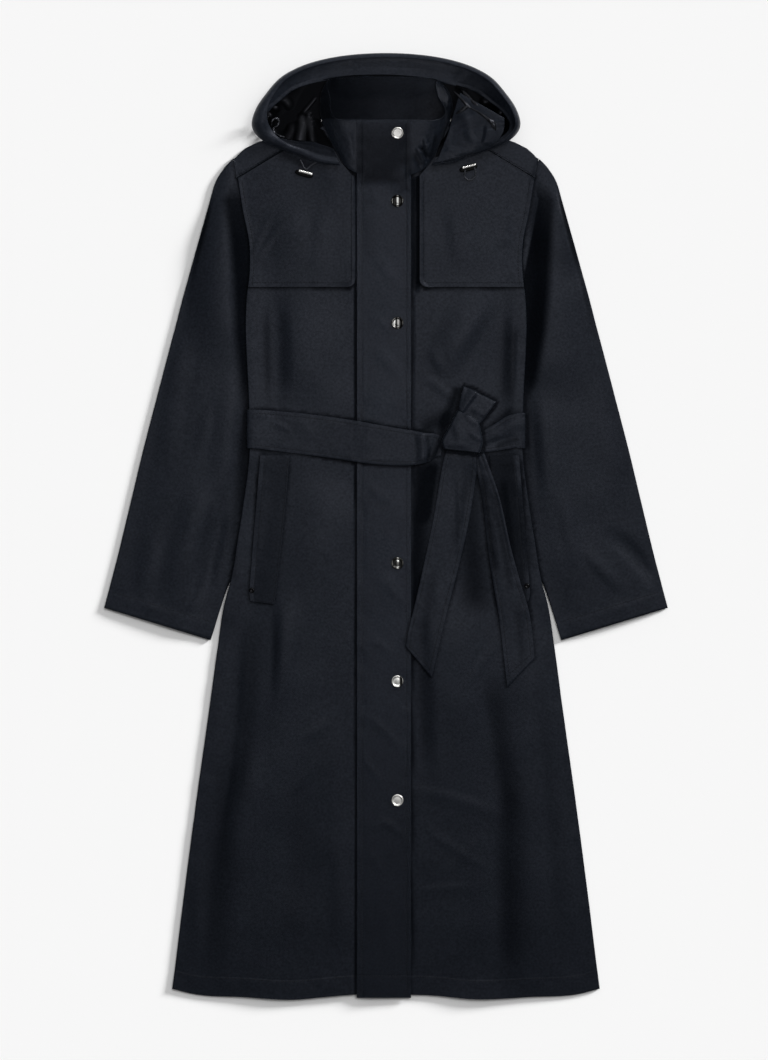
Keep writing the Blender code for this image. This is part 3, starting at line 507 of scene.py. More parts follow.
def line_of(x, y):
    """Points of a line in plan; either side may be one number."""
    return np.stack(np.broadcast_arrays(x, y), -1)


def nearest(values, at):
    return int(np.argmin(np.abs(values - at)))


def wall(obj, thickness, rim_only, side=-1.0):
    """Gives a cloth its thickness on one side, or only at its edges."""
    solid = obj.modifiers.new("wall", "SOLIDIFY")
    solid.thickness = thickness * MM
    solid.offset = side
    solid.use_rim = True
    solid.use_rim_only = rim_only


def unit(vectors):
    return vectors / np.linalg.norm(vectors, axis=-1, keepdims=True)


def across_line(ahead):
    """Unit vectors aside and up, for directions along a line."""
    ahead = unit(ahead)
    aside = unit(np.cross(ahead, (0.0, 0.0, 1.0)))
    return aside, np.cross(aside, ahead)


def places(start, end, step, edges=(0.7, 1.8), seams=()):
    """Numbers from start to end about `step` apart, closer at both ends and at seams."""
    inner = np.linspace(start + edges[-1], end - edges[-1],
                        max(2, round((end - start) / step)))
    for seam in seams:
        inner = inner[np.abs(inner - seam) > 2.4]
        inner = np.sort(np.concatenate([inner, seam + np.array((-1.7, -0.8, 0.0, 0.8, 1.7))]))
    return np.concatenate([[start], start + np.array(edges[:-1]), inner,
                           end - np.array(edges[:-1])[::-1], [end]])


def shares(length, step, seams=()):
    """Places along a length, as shares of it."""
    return places(0.0, length, step, seams=seams) / length


def over(z, x, y, clear=0.9):
    """Keeps a height above the cloth that lies below."""
    floor = sample(TOP, x, y) + clear
    gap = (z - floor) / 0.5
    return np.where(gap > 6.0, z, floor + 0.5 * np.logaddexp(0.0, np.clip(gap, -30, 30)))


def near(distance, centre, width):
    """1 at a distance from an edge, fading away on both sides of it."""
    return np.exp(-((distance - centre) / width) ** 2)


def turned_up(distance, fold):
    """1 where cloth lies double, between its edge and the fold's row of stitches."""
    return ease(distance, fold + 1.5, fold - 0.5)


# ---------------------------------------------------------------- sewing
STITCH = 2.7
STITCH_PITCH = 3.7
STITCH_WIDTH = 0.55
STITCH_PROFILE = ((0.0, -0.15), (0.25, 0.26), (0.75, 0.26), (1.0, -0.15))


def sew(name, lines, cloth_obj=None):
    """Rows of stitches along lines of points; those given in plan lie on the cloth."""
    points, faces = [], []
    read = heights(cloth_obj) if cloth_obj else None
    for line in lines:
        line = np.asarray(line, float)
        steps = np.r_[0.0, np.cumsum(np.linalg.norm(np.diff(line, axis=0), axis=1))]
        starts = np.arange(1.0, steps[-1] - STITCH, STITCH_PITCH)
        at = starts[:, None] + STITCH * np.array([share for share, _ in STITCH_PROFILE])
        where = np.stack([np.interp(at, steps, line[:, k]) for k in range(line.shape[1])], -1)
        if read:
            z = read(*where.reshape(-1, 2).T).reshape(at.shape)
            where = np.concatenate([where, z[..., None]], -1)
        where = where[np.isfinite(where).all((1, 2))]
        if not len(where):
            continue
        aside, up = across_line(where[:, -1] - where[:, 0])
        rise = np.array([height for _, height in STITCH_PROFILE])[None, :, None]
        ring = []
        for side, lift in ((0.5, 0.0), (0.0, 1.0), (-0.5, 0.0), (0.0, -0.5)):
            ring.append(where + aside[:, None] * side * STITCH_WIDTH
                        + up[:, None] * (rise + 0.2 * lift))
        ring = np.stack(ring, 2)
        for stitch in ring:
            base = len(points) * 16
            points.append(stitch.reshape(-1, 3))
            faces += [[base + i for i in face] for face in grid_faces(4, 4, wrap=True)]
            faces += [[base, base + 1, base + 2, base + 3],
                      [base + 15, base + 14, base + 13, base + 12]]
    mesh_piece(name, np.concatenate(points), faces, THREAD)


def seam_line(distance, width=1.1, depth=0.28):
    """Furrow that a row of stitches pulls into the cloth."""
    return -depth * np.exp(-(distance / width) ** 2)


# ---------------------------------------------------------------- body
def body_half(y):
    return curve(BODY_SIDE, "y", "half", y)


def stretched(x, y, top_rows):
    """Moves rows to follow the hem at the bottom and the top edge at the top."""
    drop = curve(HEM, "x", "y", x) - HEM_END
    rise = straight(top_rows, "half", "y", np.abs(x)) - BODY_SHOULDER
    return y + drop * ease(y, -500.0, HEM_END) + rise * ease(y, 425.0, BODY_SHOULDER)


def above_hem(x, y):
    return y - curve(HEM, "x", "y", x)


HEM_FOLD = 26.0
TOPSTITCH = 6.0
LONG = 0.35      # puckers point away from their seam, and change more slowly that way
FRONT_FOLDS = folds(
    (-128, 322, -126, 154, 72, 24, 3.1, 4, 0.35),
    (-169, 374, -165, 98, 12, 16, -1.2, 0, 0.45),
    (-74, 316, -60, 190, 22, 30, 0.8, -4, 0.43),
    (-187, 334, -127, 420, 9, 6, 0.6, 4, 0.45),
    (-187, 345, -149, 435, 6, 8, 0.5, 2, 0.45),
    (-148, 452, -112, 340, 30, 44, 1.4, 6, 0.43),
    (-78, 440, -92, 330, 24, 18, 1, -5, 0.43),
    (-92, 98, -88, -150, 50, 54, 2.6, 5, 0.38),
    (-140, -80, -146, -262, 34, 16, 2.9, 4, 0.43),
    (-168, -272, -214, -500, 44, 26, 2.9, -6, 0.38),
    (-196, -100, -234, -470, 14, 20, -2, 5, 0.35),
    (-97, -306, -116, -540, 56, 30, -3.1, -5, 0.33),
    (-84, -298, -140, -374, 9, 12, 0.7, 4, 0.45),
    (-70, -250, -120, -292, 16, 10, 0.8, 3, 0.45),
    (-60, -420, -66, -600, 26, 22, 1.4, 3, 0.43),
    (-246, -420, -262, -606, 16, 20, 1.5, 2, 0.43),
    (88, 448, 100, 336, 34, 20, 1.4, 3, 0.41),
    (150, 452, 160, 372, 16, 26, 1.2, 3, 0.43),
    (195, 356, 137, 334, 6, 5, 0.5, 2, 0.45),
    (194, 349, 150, 323, 5, 5, 0.5, 2, 0.45),
    (189, 366, 141, 398, 6, 6, 0.4, -2, 0.45),
    (150, 318, 70, 190, 26, 44, 2.4, -8, 0.39),
    (172, 306, 170, 160, 8, 16, 1.7, 0, 0.33),
    (37, 212, 105, 158, 8, 12, 0.9, 4, 0.45),
    (60, 250, 84, 196, 14, 10, 0.8, -3, 0.45),
    (60, -60, 72, -380, 84, 24, 3.2, 4, 0.33),
    (196, -84, 206, -660, 52, 62, 4.6, -3, 0.25),
    (120, -396, 138, -620, 26, 36, 1.7, 6, 0.43),
    (2, -350, 184, -402, 10, 17, 0.7, 9, 0.45),
    (34, -386, 162, -472, 12, 9, 0.6, -9, 0.45),
    (71, -484, 141, -410, 8, 12, 0.4, 5, 0.45),
    (16, -496, 134, -486, 6, 16, 0.6, 4, 0.45),
    (240, -330, 262, -600, 18, 22, 1.4, -3, 0.43),
    (161, -134, 101, -222, 10, 12, 0.5, 4, 0.45),
)
SHADES = folds(
    (99, 192, 73, 116, 9, 13, 0.9, 0, 0.1),
    (90, 152, 44, 128, 16, 22, 0.75, 0, 0.25),
    (46, 104, 38, -130, 36, 16, 0.95, 0, 0.12),
    (50, -60, 40, -150, 12, 12, 0.6, 0, 0.3),
    (176, 64, 194, -76, 18, 12, 0.65, 0, 0.25),
    (-200, 104, -208, -80, 8, 12, 0.6, 0, 0.2),
    (70, 98, 50, 0, 14, 18, 0.7, 0, 0.2),
    (106, 92, 124, -130, 30, 34, 0.75, 0, 0.18),
    (146, 100, 172, -130, 24, 26, 0.6, 2, 0.22),
    (158, 98, 178, -100, 12, 20, 0.5, 2, 0.22),
    (126, 120, 176, 162, 11, 6, 0.8, 0, 0.2),
    (177, 290, 170, 150, 5, 34, 0.5, 0, 0.3),
    (-163, 312, -158, 150, 10, 10, 0.4, 0, 0.35),
    (-176, 72, -172, -60, 12, 8, 0.35, 0, 0.3),
    (46, -60, 52, -360, 26, 10, 0.35, 0, 0.3),
    (134, -180, 170, -420, 30, 18, 0.5, 3, 0.3),
    (166, -330, 166, -640, 34, 24, 0.45, 0, 0.25),
    (206, -170, 236, -600, 20, 16, 0.2, 3, 0.3),
    (-176, -100, -198, -400, 22, 26, 0.35, 0, 0.3),
    (-214, -280, -236, -640, 34, 30, 0.35, 0, 0.3),
    (-120, -300, -128, -600, 24, 24, 0.18, 2, 0.35),
)
HEM_SHADE, PLACKET_SHADE = 0.22, 0.40


def shade_of(x, y, most=0.0):
    """How much painted shade the folds leave on the cloth; the painted shade also deepens towards
    the hem.
    """
    return np.clip(creases(x, y, SHADES) + most * ease(y, -120.0, -640.0), 0.0, 1.0)


PLACKET_DITCHES = folds(
    (40, 500, 40, 312, 6, 6.5, -3.2, 0, 0.06),
    (35.5, 350, 35.5, -650, 3, 3, -1.2, 0, 0.02),
    (-41, 500, -41, -650, 2.6, 3, -1.6, 0, 0.01),
)


def front_detail(x, y):
    """Creases, seams and unevenness of both fronts, over the smooth form of the solids."""
    inset = body_half(np.minimum(y, BODY_TOP)) - np.abs(x)
    calm = ease(inset, 2.0, 30.0)
    total = sample(SOFT, x, y) * calm
    total += creases(x, y, FRONT_FOLDS) + creases(x, y, PLACKET_DITCHES)
    hem = above_hem(x, y)
    total += 0.3 * turned_up(hem, HEM_FOLD) + seam_line(hem - HEM_FOLD)
    total += 0.24 * sample(PUCKER, x, y * LONG) * near(hem, 21.0, 10.0)
    return total + 0.2 * sample(PUCKER, x * LONG, y) * near(inset, 6.0, 9.0)


def front(side):
    tag = TAGS[side]
    y = places(HEM_END, BODY_SHOULDER, 3.1, seams=(-599.4, -596.6))[:, None]
    share = shares(250.0, 3.1)[None, :]
    inner = LEFT_EDGE if side > 0 else -RIGHT_EDGE
    x = side * mix(inner, body_half(y), share)
    y = stretched(x, y, FRONT_TOP)
    base = solid_top("front_" + tag)
    back_top = solid_top("back_panel")
    z = over(sample(base, x, y) + front_detail(x, y), x, y)
    low = sample(back_top, x[:, -1], y[:, -1]) - CLOTH
    half = np.clip((z[:, -1] - low) / 2.0, 0.8, 3.0)
    points = np.stack([x, y, z], -1)
    rim = rolled(points[:, -1], (35.0, 70.0, 105.0, 140.0, 165.0), side * 0.7 * half, 0.0, half)
    points = np.concatenate([points, rim], 1)
    obj = cloth_piece("front_cloth_" + tag, points, "front_" + tag, flip=side < 0)
    cover(obj)
    hem_x = side * np.linspace(42.0, 286.0, 90)
    hem = np.stack([hem_x, curve(HEM, "x", "y", hem_x) + HEM_FOLD - 1.2], -1)
    sew("hem_stitches_" + tag, [hem], obj)
    by_point(obj, "shade", shade_of(points[..., 0], points[..., 1], HEM_SHADE))
    wall(obj, 0.8, True)


def back():
    y = places(HEM_END, BODY_SHOULDER, 7.0)[:, None]
    share = places(-200.0, 200.0, 7.0)[None, :] / 200.0
    x = share * body_half(y) * mix(1.0, 203.0 / 199.8, ease(y, 425.0, BODY_SHOULDER))
    y = stretched(x, y, BACK_TOP)
    z = sample(solid_top("back_panel", sigma=4.0), x, y) - 0.1
    obj = cloth_piece("back_cloth", np.stack([x, y, z], -1), "back_panel")
    cover(obj)
    wall(obj, 0.85, False)


# ---------------------------------------------------------------- sleeves
SLEEVE_FOLDS = {
    -1: folds(
        (-232, 462, -214, 200, 34, 62, 4.6, 7, 0.29),
        (-206, 214, -226, 20, 22, 30, 2, 4, 0.43),
        (-216, 58, -252, -112, 16, 24, -3.1, 3, 0.38),
        (-238, 78, -290, -132, 24, 30, 2.4, -5, 0.38),
        (-245, -40, -293, -156, 8, 13, 0.9, 4, 0.45),
        (-310, 10, -336, -118, 18, 22, 1.4, 3, 0.43),
        (-262, 300, -300, 60, 24, 28, 1.2, -5, 0.43),
        (-236, 170, -256, 90, 10, 14, 0.8, 2, 0.45),
    ),
    1: folds(
        (240, 462, 240, 330, 62, 44, 4.6, -3, 0.38),
        (243, 372, 206, 168, 84, 34, 4.3, -4, 0.33),
        (206, 196, 222, 10, 40, 20, 2.2, 3, 0.43),
        (276, 200, 322, 10, 30, 28, 1.7, 5, 0.43),
        (292, 2, 378, -92, 16, 18, -2.9, 5, 0.38),
        (262, -20, 330, -96, 16, 12, 1.5, -4, 0.43),
        (232, 60, 262, -80, 14, 18, 1.4, 3, 0.43),
        (241, -124, 267, -48, 10, 10, 0.6, 4, 0.45),
        (217, 312, 253, 248, 12, 10, 0.4, 4, 0.45),
    ),
}
SLEEVE_SHADE = {
    -1: table(
        "y near far depth",
        (470, 196, 206, 0), (440, 188, 219, 0.9), (387, 184, 211, 1), (333, 184, 206, 1),
        (265, 184, 204, 1), (198, 184, 198, 1), (157, 184, 194, 0.7), (117, 184, 199, 0.9),
        (60, 186, 202, 0.8), (-20, 200, 212, 0.3), (-60, 210, 220, 0),
    ),
    1: table(
        "y near far depth",
        (470, 200, 212, 0), (441, 207, 227, 0.8), (387, 197, 224, 1), (333, 186, 221, 1),
        (265, 186, 216, 1), (198, 182, 204, 1), (171, 182, 193, 0.8), (117, 186, 196, 0.6),
        (60, 188, 198, 0.5), (-20, 198, 206, 0.3), (-60, 210, 220, 0),
    ),
}
SLEEVE_ROWS = 230
CUFF_FOLD = 24.0
SLEEVE_UNDERSIDE = 0.06


def sleeve(side):
    tag = TAGS[side]
    at = np.linspace(0.0, len(SLEEVE) - 1.0, SLEEVE_ROWS)
    outer_x, outer_y, inner_x, inner_y = (along(SLEEVE, name, at)[:, None]
                                          for name in SLEEVE[0]._fields)

    def across(share):
        return mix(inner_x, outer_x, share), mix(inner_y, outer_y, share)

    share = shares(160.0, 3.4)[None, :]
    x, y = across(share)
    base = solid_top("sleeve_upper_" + tag, sigma=6.0)
    calm = ease(np.minimum(share, 1.0 - share) * 160.0, 0.0, 18.0)
    z = sample(base, side * x, y) + calm * (sample(SOFT, side * x, y)
                                            + creases(side * x, y, SLEEVE_FOLDS[side]))
    from_cuff = np.hypot(x - x[-1:], y - y[-1:])
    z += 0.3 * turned_up(from_cuff, CUFF_FOLD) + seam_line(from_cuff - CUFF_FOLD, width=1.6)
    z += 0.25 * sample(PUCKER, share * 150.0, from_cuff * LONG) * near(from_cuff, 20.0, 9.0)
    top = np.stack([side * x, y, z], -1)
    outer, inner = top[:, -1], top[:, 0]
    half_out, half_in = ((edge[:, 2] - SLEEVE_UNDERSIDE) / 2.0 for edge in (outer, inner))
    under_x, under_y = across(np.linspace(1.0, 0.0, 14)[None, :])
    under = np.stack([side * under_x, under_y, np.full_like(under_x, SLEEVE_UNDERSIDE)], -1)
    turns = (30.0, 60.0, 90.0, 120.0, 150.0)
    points = np.concatenate([
        top, rolled(outer, turns, side * 0.8 * half_out, 0.0, half_out),
        under, rolled(inner, turns[::-1], side * -0.8 * half_in, 0.0, half_in)], 1)
    obj = cloth_piece("sleeve_cloth_" + tag, points, "sleeve_upper_" + tag,
                      "sleeve_under_" + tag, wrap=True, flip=side > 0)
    cover(obj)
    cuff = []
    for share_here in np.linspace(0.02, 0.98, 60):
        edge_x, edge_y = (line[:, 0] for line in across(share_here))
        away = np.hypot(edge_x - edge_x[-1], edge_y - edge_y[-1])
        cuff.append((side * np.interp(CUFF_FOLD, away[::-1], edge_x[::-1]),
                     np.interp(CUFF_FOLD, away[::-1], edge_y[::-1])))
    sew("cuff_stitches_" + tag, [cuff], obj)
    near_x, far_x, depth = (straight(SLEEVE_SHADE[side][::-1], "y", name, points[..., 1])
                            for name in ("near", "far", "depth"))
    out = np.abs(points[..., 0])
    by_point(obj, "shade", depth * ease(out, far_x + 7.0, far_x - 7.0)
             * ease(out, near_x - 3.0, near_x))
    wall(obj, 0.7, False)


# ---------------------------------------------------------------- yokes, flaps, placket, pockets
YOKE_DEPTH = 44.0
YOKE_ROLL = (0.455, 1.17, 1.4)


def yoke(side):
    tag = TAGS[side]
    share = shares(130.0, 2.6)[:, None]
    depth = places(0.0, YOKE_DEPTH, 2.2)[None, :]
    step = depth / YOKE_DEPTH
    line_x = mix(86.0, 206.0, share)
    line_y = straight(BACK_TOP, "half", "y", line_x) - 0.4 - 2.0 * ease(line_x, 198.0, 206.0)
    x = side * mix(mix(86.0, 201.5, share), line_x, step)
    y = mix(mix(539.6, 470.5, share), line_y, step)
    base = solid_top("shoulder_yoke_" + tag, sigma=5.0)
    z = sample(base, x, y) + 0.3 * sample(SOFT, x, y)
    z += 0.25 * sample(PUCKER, x, y) * near(depth, 4.0, 5.0)
    points = np.stack([x, y, over(z, x, y)], -1)
    rim = rolled(points[:, -1], (35.0, 70.0, 105.0, 140.0), side * YOKE_ROLL[0], *YOKE_ROLL[1:])
    points = np.concatenate([points, rim], 1)
    points[..., 2] = np.maximum(points[..., 2], 0.9)
    obj = cloth_piece("yoke_cloth_" + tag, points, "shoulder_yoke_" + tag, flip=side < 0)
    cover(obj)
    row = nearest(depth[0], 4.6)
    sew("yoke_stitches_" + tag, [points[2:-2, row, :2]], obj)
    wall(obj, 0.8, True)


FLAP_CORNER = 11.0
FLAP_EDGE_LIFT = {1: 1.3, -1: 0.0}


def flap_inner(y, side):
    """Inner edge of the storm flap, rounded at its lower corner."""
    up = np.clip(y - FLAP_HEM, 0.0, FLAP_CORNER)
    return FLAP_EDGES[side] + FLAP_CORNER - np.sqrt(FLAP_CORNER ** 2 - (FLAP_CORNER - up) ** 2)


BRIM_SHADES = folds(
    (-158, 514, -96, 483, 9, 10, 0.65, 0, 0.15),
)


def flap(side):
    tag = TAGS[side]
    y = places(FLAP_HEM, BODY_SHOULDER, 2.6, edges=(0.5, 1.3, 2.4, 4.0),
               seams=(FLAP_HEM + TOPSTITCH,))[:, None]
    share = shares(145.0, 2.6, (TOPSTITCH,))[None, :]
    x = mix(flap_inner(y, side), body_half(y) + 0.4, share)
    up = y - FLAP_HEM
    inward = x - flap_inner(y, side)
    y = stretched(x, y, FRONT_TOP)
    x = side * x
    base = solid_top("storm_flap_" + tag)
    z = sample(base, x, y) + front_detail(x, y)
    edge = np.minimum(up, inward)
    z += 0.25 * turned_up(edge, TOPSTITCH) + seam_line(edge - TOPSTITCH)
    z += 0.24 * sample(PUCKER, x, y * LONG) * near(up, 4.0, 7.0)
    z += 0.24 * sample(PUCKER, x * LONG, y) * near(inward, 4.0, 7.0)
    z += 0.9 * near(up, 0.0, 9.0) * (0.6 + 0.4 * np.sin(side * x * 0.045 + side))
    z += FLAP_EDGE_LIFT[side] * near(inward, 0.0, 7.0)
    obj = cloth_piece("flap_cloth_" + tag, np.stack([x, y, over(z, x, y)], -1),
                      "storm_flap_" + tag, flip=side < 0)
    by_point(obj, "shade", np.clip(creases(x, y, BRIM_SHADES), 0.0, 1.0))
    cover(obj)
    down = np.linspace(466.0, FLAP_HEM + 10.0, 40)
    across = np.linspace(FLAP_EDGES[side] + 10.0, 183.0, 40)
    armhole = np.linspace(FLAP_HEM + 2.0, 466.0, 40)
    corner = np.concatenate([line_of(side * (FLAP_EDGES[side] + TOPSTITCH), down),
                             line_of(side * across, FLAP_HEM + TOPSTITCH)])
    sew("flap_stitches_" + tag, [corner, line_of(side * (body_half(armhole) - 5.0), armhole)], obj)
    wall(obj, 0.8, True)


PLACKET_SEAMS = (-32.4, 27.8)
PLACKET_HEM = -606.0
PLACKET_FOLDS = folds(
    (-30, -252, 22, -304, 8, 10, 0.7, 4, 0.45),
    (-37, -295, 1, -353, 9, 6, 0.7, -4, 0.45),
    (-18, -390, 36, -432, 10, 8, 0.6, 4, 0.45),
    (-35, -412, 25, -400, 8, 12, 0.5, 4, 0.45),
    (-33, -431, 3, -479, 9, 8, 0.4, 2, 0.45),
    (-32, 456, 12, 412, 10, 12, 0.5, 4, 0.45),
    (-24, 385, 28, 317, 14, 12, 0.6, -5, 0.45),
    (-36, 288, 16, 256, 10, 8, 0.5, 4, 0.45),
    (-29, 248, 31, 184, 16, 12, 0.6, 5, 0.45),
    (-37, 68, 21, 26, 12, 10, 0.5, -4, 0.45),
    (-20, -58, 34, -122, 13, 12, 0.6, 5, 0.45),
    (-38, -142, 16, -184, 12, 9, 0.5, 4, 0.45),
    (-8, -496, 14, -624, 13, 16, 0.6, 4, 0.45),
)


def placket_detail(x, y):
    total = seam_line(np.minimum(np.abs(x - PLACKET_SEAMS[0]), np.abs(x - PLACKET_SEAMS[1])))
    edge = np.minimum(x - PLACKET_LEFT, PLACKET_RIGHT - x)
    total += 0.3 * sample(PUCKER, x * LONG, y) * near(edge, 5.0, 8.0)
    total += 0.5 * sample(SOFT, x * 1.5, y) * ease(edge, 0.0, 12.0)
    total += creases(x, y, PLACKET_FOLDS)
    return total + seam_line(y - PLACKET_HEM)


def placket():
    y = places(-636.0, COLLAR_TOP - 0.6, 2.6, seams=(PLACKET_HEM,))[:, None]
    x = places(PLACKET_LEFT, PLACKET_RIGHT, 2.4, seams=PLACKET_SEAMS)[None, :]
    x, y = np.broadcast_arrays(x, y)
    base = solid_top("placket", sigma=4.0)
    z = over(sample(base, x, y) + placket_detail(x, y), x, y)
    obj = cloth_piece("placket_cloth", np.stack([x, y, z], -1), "placket")
    cover(obj)
    by_point(obj, "shade", PLACKET_SHADE * ease(y, -100.0, -560.0))
    up = np.linspace(-633.0, COLLAR_TOP - 2.0, 300)
    across = np.linspace(PLACKET_LEFT + 2.0, PLACKET_RIGHT - 2.0, 30)
    lines = [line_of(seam, up) for seam in PLACKET_SEAMS]
    sew("placket_stitches", lines + [line_of(across, PLACKET_HEM)], obj)
    wall(obj, 0.9, True)


WELT = table(
    "y opening sewn",
    (-101, 183, 151), (-90, 185, 148.5), (-20, 179.5, 140.5), (40, 174.5, 134.5), (96, 170, 130),
)
WELT_WIDTH, WELT_STITCH = 38.0, 31.5
WELT_SHIFT = {1: 9.5, -1: 0.0}
WELT_SHADE = {1: 0.7, -1: 0.28}


def welt(side):
    tag = TAGS[side]
    y = places(-101.0, 96.0, 2.6)[:, None]
    depth = places(0.0, WELT_WIDTH, 2.4, seams=(WELT_STITCH,))[None, :]
    share = depth / WELT_WIDTH
    sewn, opening = (straight(WELT, "y", name, y) + WELT_SHIFT[side]
                     for name in ("sewn", "opening"))
    x = side * mix(sewn, opening, share)
    y = y - 4.0 * (1.0 - share) * ease(y, -88.0, -101.0)
    base = solid_top("pocket_welt_" + tag, sigma=5.0)
    z = sample(base, x, y) + front_detail(x, y)
    z += 0.5 * ease(depth, 26.0, 36.0) + seam_line(depth - WELT_STITCH)
    z += 0.2 * sample(PUCKER, x * LONG, y) * near(depth, 32.0, 9.0)
    points = np.stack([x, y, over(z, x, y)], -1)
    obj = cloth_piece("welt_cloth_" + tag, points, "pocket_welt_" + tag, flip=side < 0)
    dim = WELT_SHADE[side] * ease(depth, 32.5, 30.0)
    by_point(obj, "shade", np.maximum(shade_of(x, y), dim))
    cover(obj)
    lines = [points[2:-2, nearest(depth[0], at), :2] for at in (WELT_STITCH, 2.0)]
    lines.append(points[2, 2:-2, :2])
    sew("welt_stitches_" + tag, lines, obj)
    wall(obj, 0.8, True)


# ---------------------------------------------------------------- belt
BELT_FRONT = table(
    "x y width",
    (76, 107, 24), (64, 108.5, 34), (46, 106, 44), (18, 107, 50), (-20, 111.5, 54),
    (-60, 118, 55), (-108, 124.4, 55), (-150, 129, 54), (-170, 131, 53), (-180, 131.5, 52.5),
)
BELT_SIDE = table(
    "x y width",
    (124, 112, 24), (136, 115, 30), (150, 120, 36), (162, 124.5, 41), (171, 128, 45),
    (180, 129.2, 48),
)
TAIL_FRONT = table(
    "x y width slant",
    (101, 112, 34, 0), (100, 90, 44, 0), (96.5, 62, 48, 0), (88, 10, 48, 2), (76, -46, 47, 3),
    (62, -104, 45, 4), (52, -146, 45, 8), (44, -183, 43, 17),
)
TAIL_BACK = table(
    "x y width slant",
    (122, 106, 14, 0), (128, 88, 16, 0), (142, 35, 24, 0), (153, -30, 31, 0), (164, -82, 37, -2),
    (174, -128, 42, -6), (182, -198, 41, -17),
)
BELT_STITCH = 5.0
BELT_SHADES = folds(
    (77, 124, 60, 84, 7, 9, 0.85, 0, 0.15),
    (146, 107, 182, 120, 7, 5, 0.55, 0, 0.2),
    (126, 84, 150, -80, 12, 9, 0.75, 0, 0.22),
    (141, 64, 172, -100, 7, 8, 0.5, 0, 0.25),
    (116, 88, 92, -40, 6, 16, 0.35, 0, 0.3),
    (176, -90, 186, -200, 12, 10, 0.35, 0, 0.3),
    (68, -40, 44, -190, 10, 12, 0.3, 0, 0.3),
)
BELT_FOLDS = folds(
    (-150, 142, -130, 130, 5, 9, 0.8, 0, 0.3),
    (47, 130, 50, 82, 9, 12, 2.2, 2, 0.22),
    (74, 126, 58, 82, 6, 8, -2.6, -1, 0.15),
    (-128, 150, -96, 112, 14, 20, 0.7, 4, 0.35),
    (-20, 152, -34, 96, 18, 14, 0.8, 3, 0.35),
    (134, 118, 186, 142, 12, 16, 1.4, 3, 0.25),
    (128, 106, 180, 122, 6, 7, -1.2, 2, 0.25),
    (96, 92, 99, -60, 6, 9, 1.3, 3, 0.35),
    (112, 96, 106, 20, 5, 7, -1.1, 2, 0.35),
    (140, 90, 176, -90, 7, 6, 1.2, 4, 0.35),
    (70, -60, 60, -190, 9, 9, 0.9, 3, 0.35),
    (178, -120, 186, -206, 8, 8, 0.8, -3, 0.35),
)


def band(name, rows, node, length, wrap=0):
    """A belt stretch: a doubled band along its middle line, following the cloth below."""
    at = np.linspace(0.0, len(rows) - 1.0, max(12, round(length / 2.4)))
    x, y, width = (along(rows, key, at)[:, None] for key in ("x", "y", "width"))
    ax, ay = np.gradient(x, axis=0), np.gradient(y, axis=0)
    norm = np.hypot(ax, ay)
    ax, ay = ax / norm, ay / norm
    slant = along(rows, "slant", at)[:, None] if "slant" in rows[0]._fields else 0.0 * x

    def across(v):
        return (x - ay * v * width + ax * slant * 2.0 * v,
                y + ax * v * width + ay * slant * 2.0 * v)

    v = (shares(50.0, 2.4) - 0.5)[None, :]
    px, py = across(v)
    edge = (0.5 - np.abs(v)) * width
    z = sample(solid_top(node, sigma=5.0), px, py) + creases(px, py, BELT_FOLDS)
    z += 0.2 * sample(PUCKER, px * 1.4, py * 1.4) * near(edge, 5.0, 6.0)
    z += 0.25 * sample(SOFT, px * 2.0, py * 2.0)
    z += seam_line(edge - BELT_STITCH, width=1.3, depth=0.24) - 0.5 * near(edge, 0.0, 0.9)
    z = over(z, px, py, clear=1.3)
    points = np.stack([px, py, z], -1)
    if wrap:
        half = (z[-1] - 2.8) / 2.0
        end = wrap * (body_half(130.0) + 2.4)
        flat = [np.stack([mix(px[-1], end, s), py[-1], z[-1] - 0.6 * s], -1) for s in (0.4, 0.8)]
        edge_row = np.stack([np.full_like(half, end), py[-1], z[-1] - 0.6], -1)
        rim = rolled(edge_row, (30.0, 60.0, 90.0, 120.0, 150.0), wrap * 0.7 * half, 0.0,
                     half - 0.3)
        points = np.concatenate([points, np.stack(flat), rim.swapaxes(0, 1)], 0)
    ahead = points[1, 0] - points[0, 0]
    aside = points[0, 1] - points[0, 0]
    obj = cloth_piece(name, points, node, flip=ahead[0] * aside[1] - ahead[1] * aside[0] > 0.0)
    cover(obj)
    by_point(obj, "shade", np.clip(creases(points[..., 0], points[..., 1], BELT_SHADES), 0.0, 1.0))
    lines = [np.concatenate(across(edge_side * (0.5 - BELT_STITCH / width)), 1)[1:-1]
             for edge_side in (-1.0, 1.0)]
    if slant.any():
        ends = [line[-1] - 0.9 * (line[-1] - line[-4]) for line in lines]
        lines.append(np.linspace(ends[0], ends[1], 20))
    sew(name.replace("cloth", "stitches"), lines, obj)
    wall(obj, 1.2, True)


BELT_BACK_WALL = 1.6
BELT_WIDTH = 54.4


def belt_back():
    """Back run of the belt, flat between the coat's back and the surface."""
    node = "belt_back_run"
    low, high = (np.array(corner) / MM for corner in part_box(node))
    x = np.linspace(low[0] + 0.4, high[0] - 0.4, 150)[:, None]
    middle = (low[1] + high[1]) / 2.0
    y = middle + (places(0.0, BELT_WIDTH, 3.0) - BELT_WIDTH / 2.0)[None, :]
    top = heights(frame["nodes"][node])(x[:, 0], 0.0 * x[:, 0] + middle)
    top = np.interp(x[:, 0], x[np.isfinite(top), 0], top[np.isfinite(top)])
    edge = BELT_WIDTH / 2.0 - np.abs(y - middle)
    x, y = np.broadcast_arrays(x, y)
    z = top[:, None] - 0.15 + seam_line(edge - BELT_STITCH, 1.3, 0.2)
    z = z - 0.4 * near(edge, 0.0, 0.9) - 0.1 * np.abs(sample(PUCKER, x, y))
    z = np.maximum(z, BELT_BACK_WALL + 0.05)
    obj = cloth_piece("belt_back_cloth", np.stack([x, y, z], -1), node, flip=True)
    wall(obj, BELT_BACK_WALL, False)


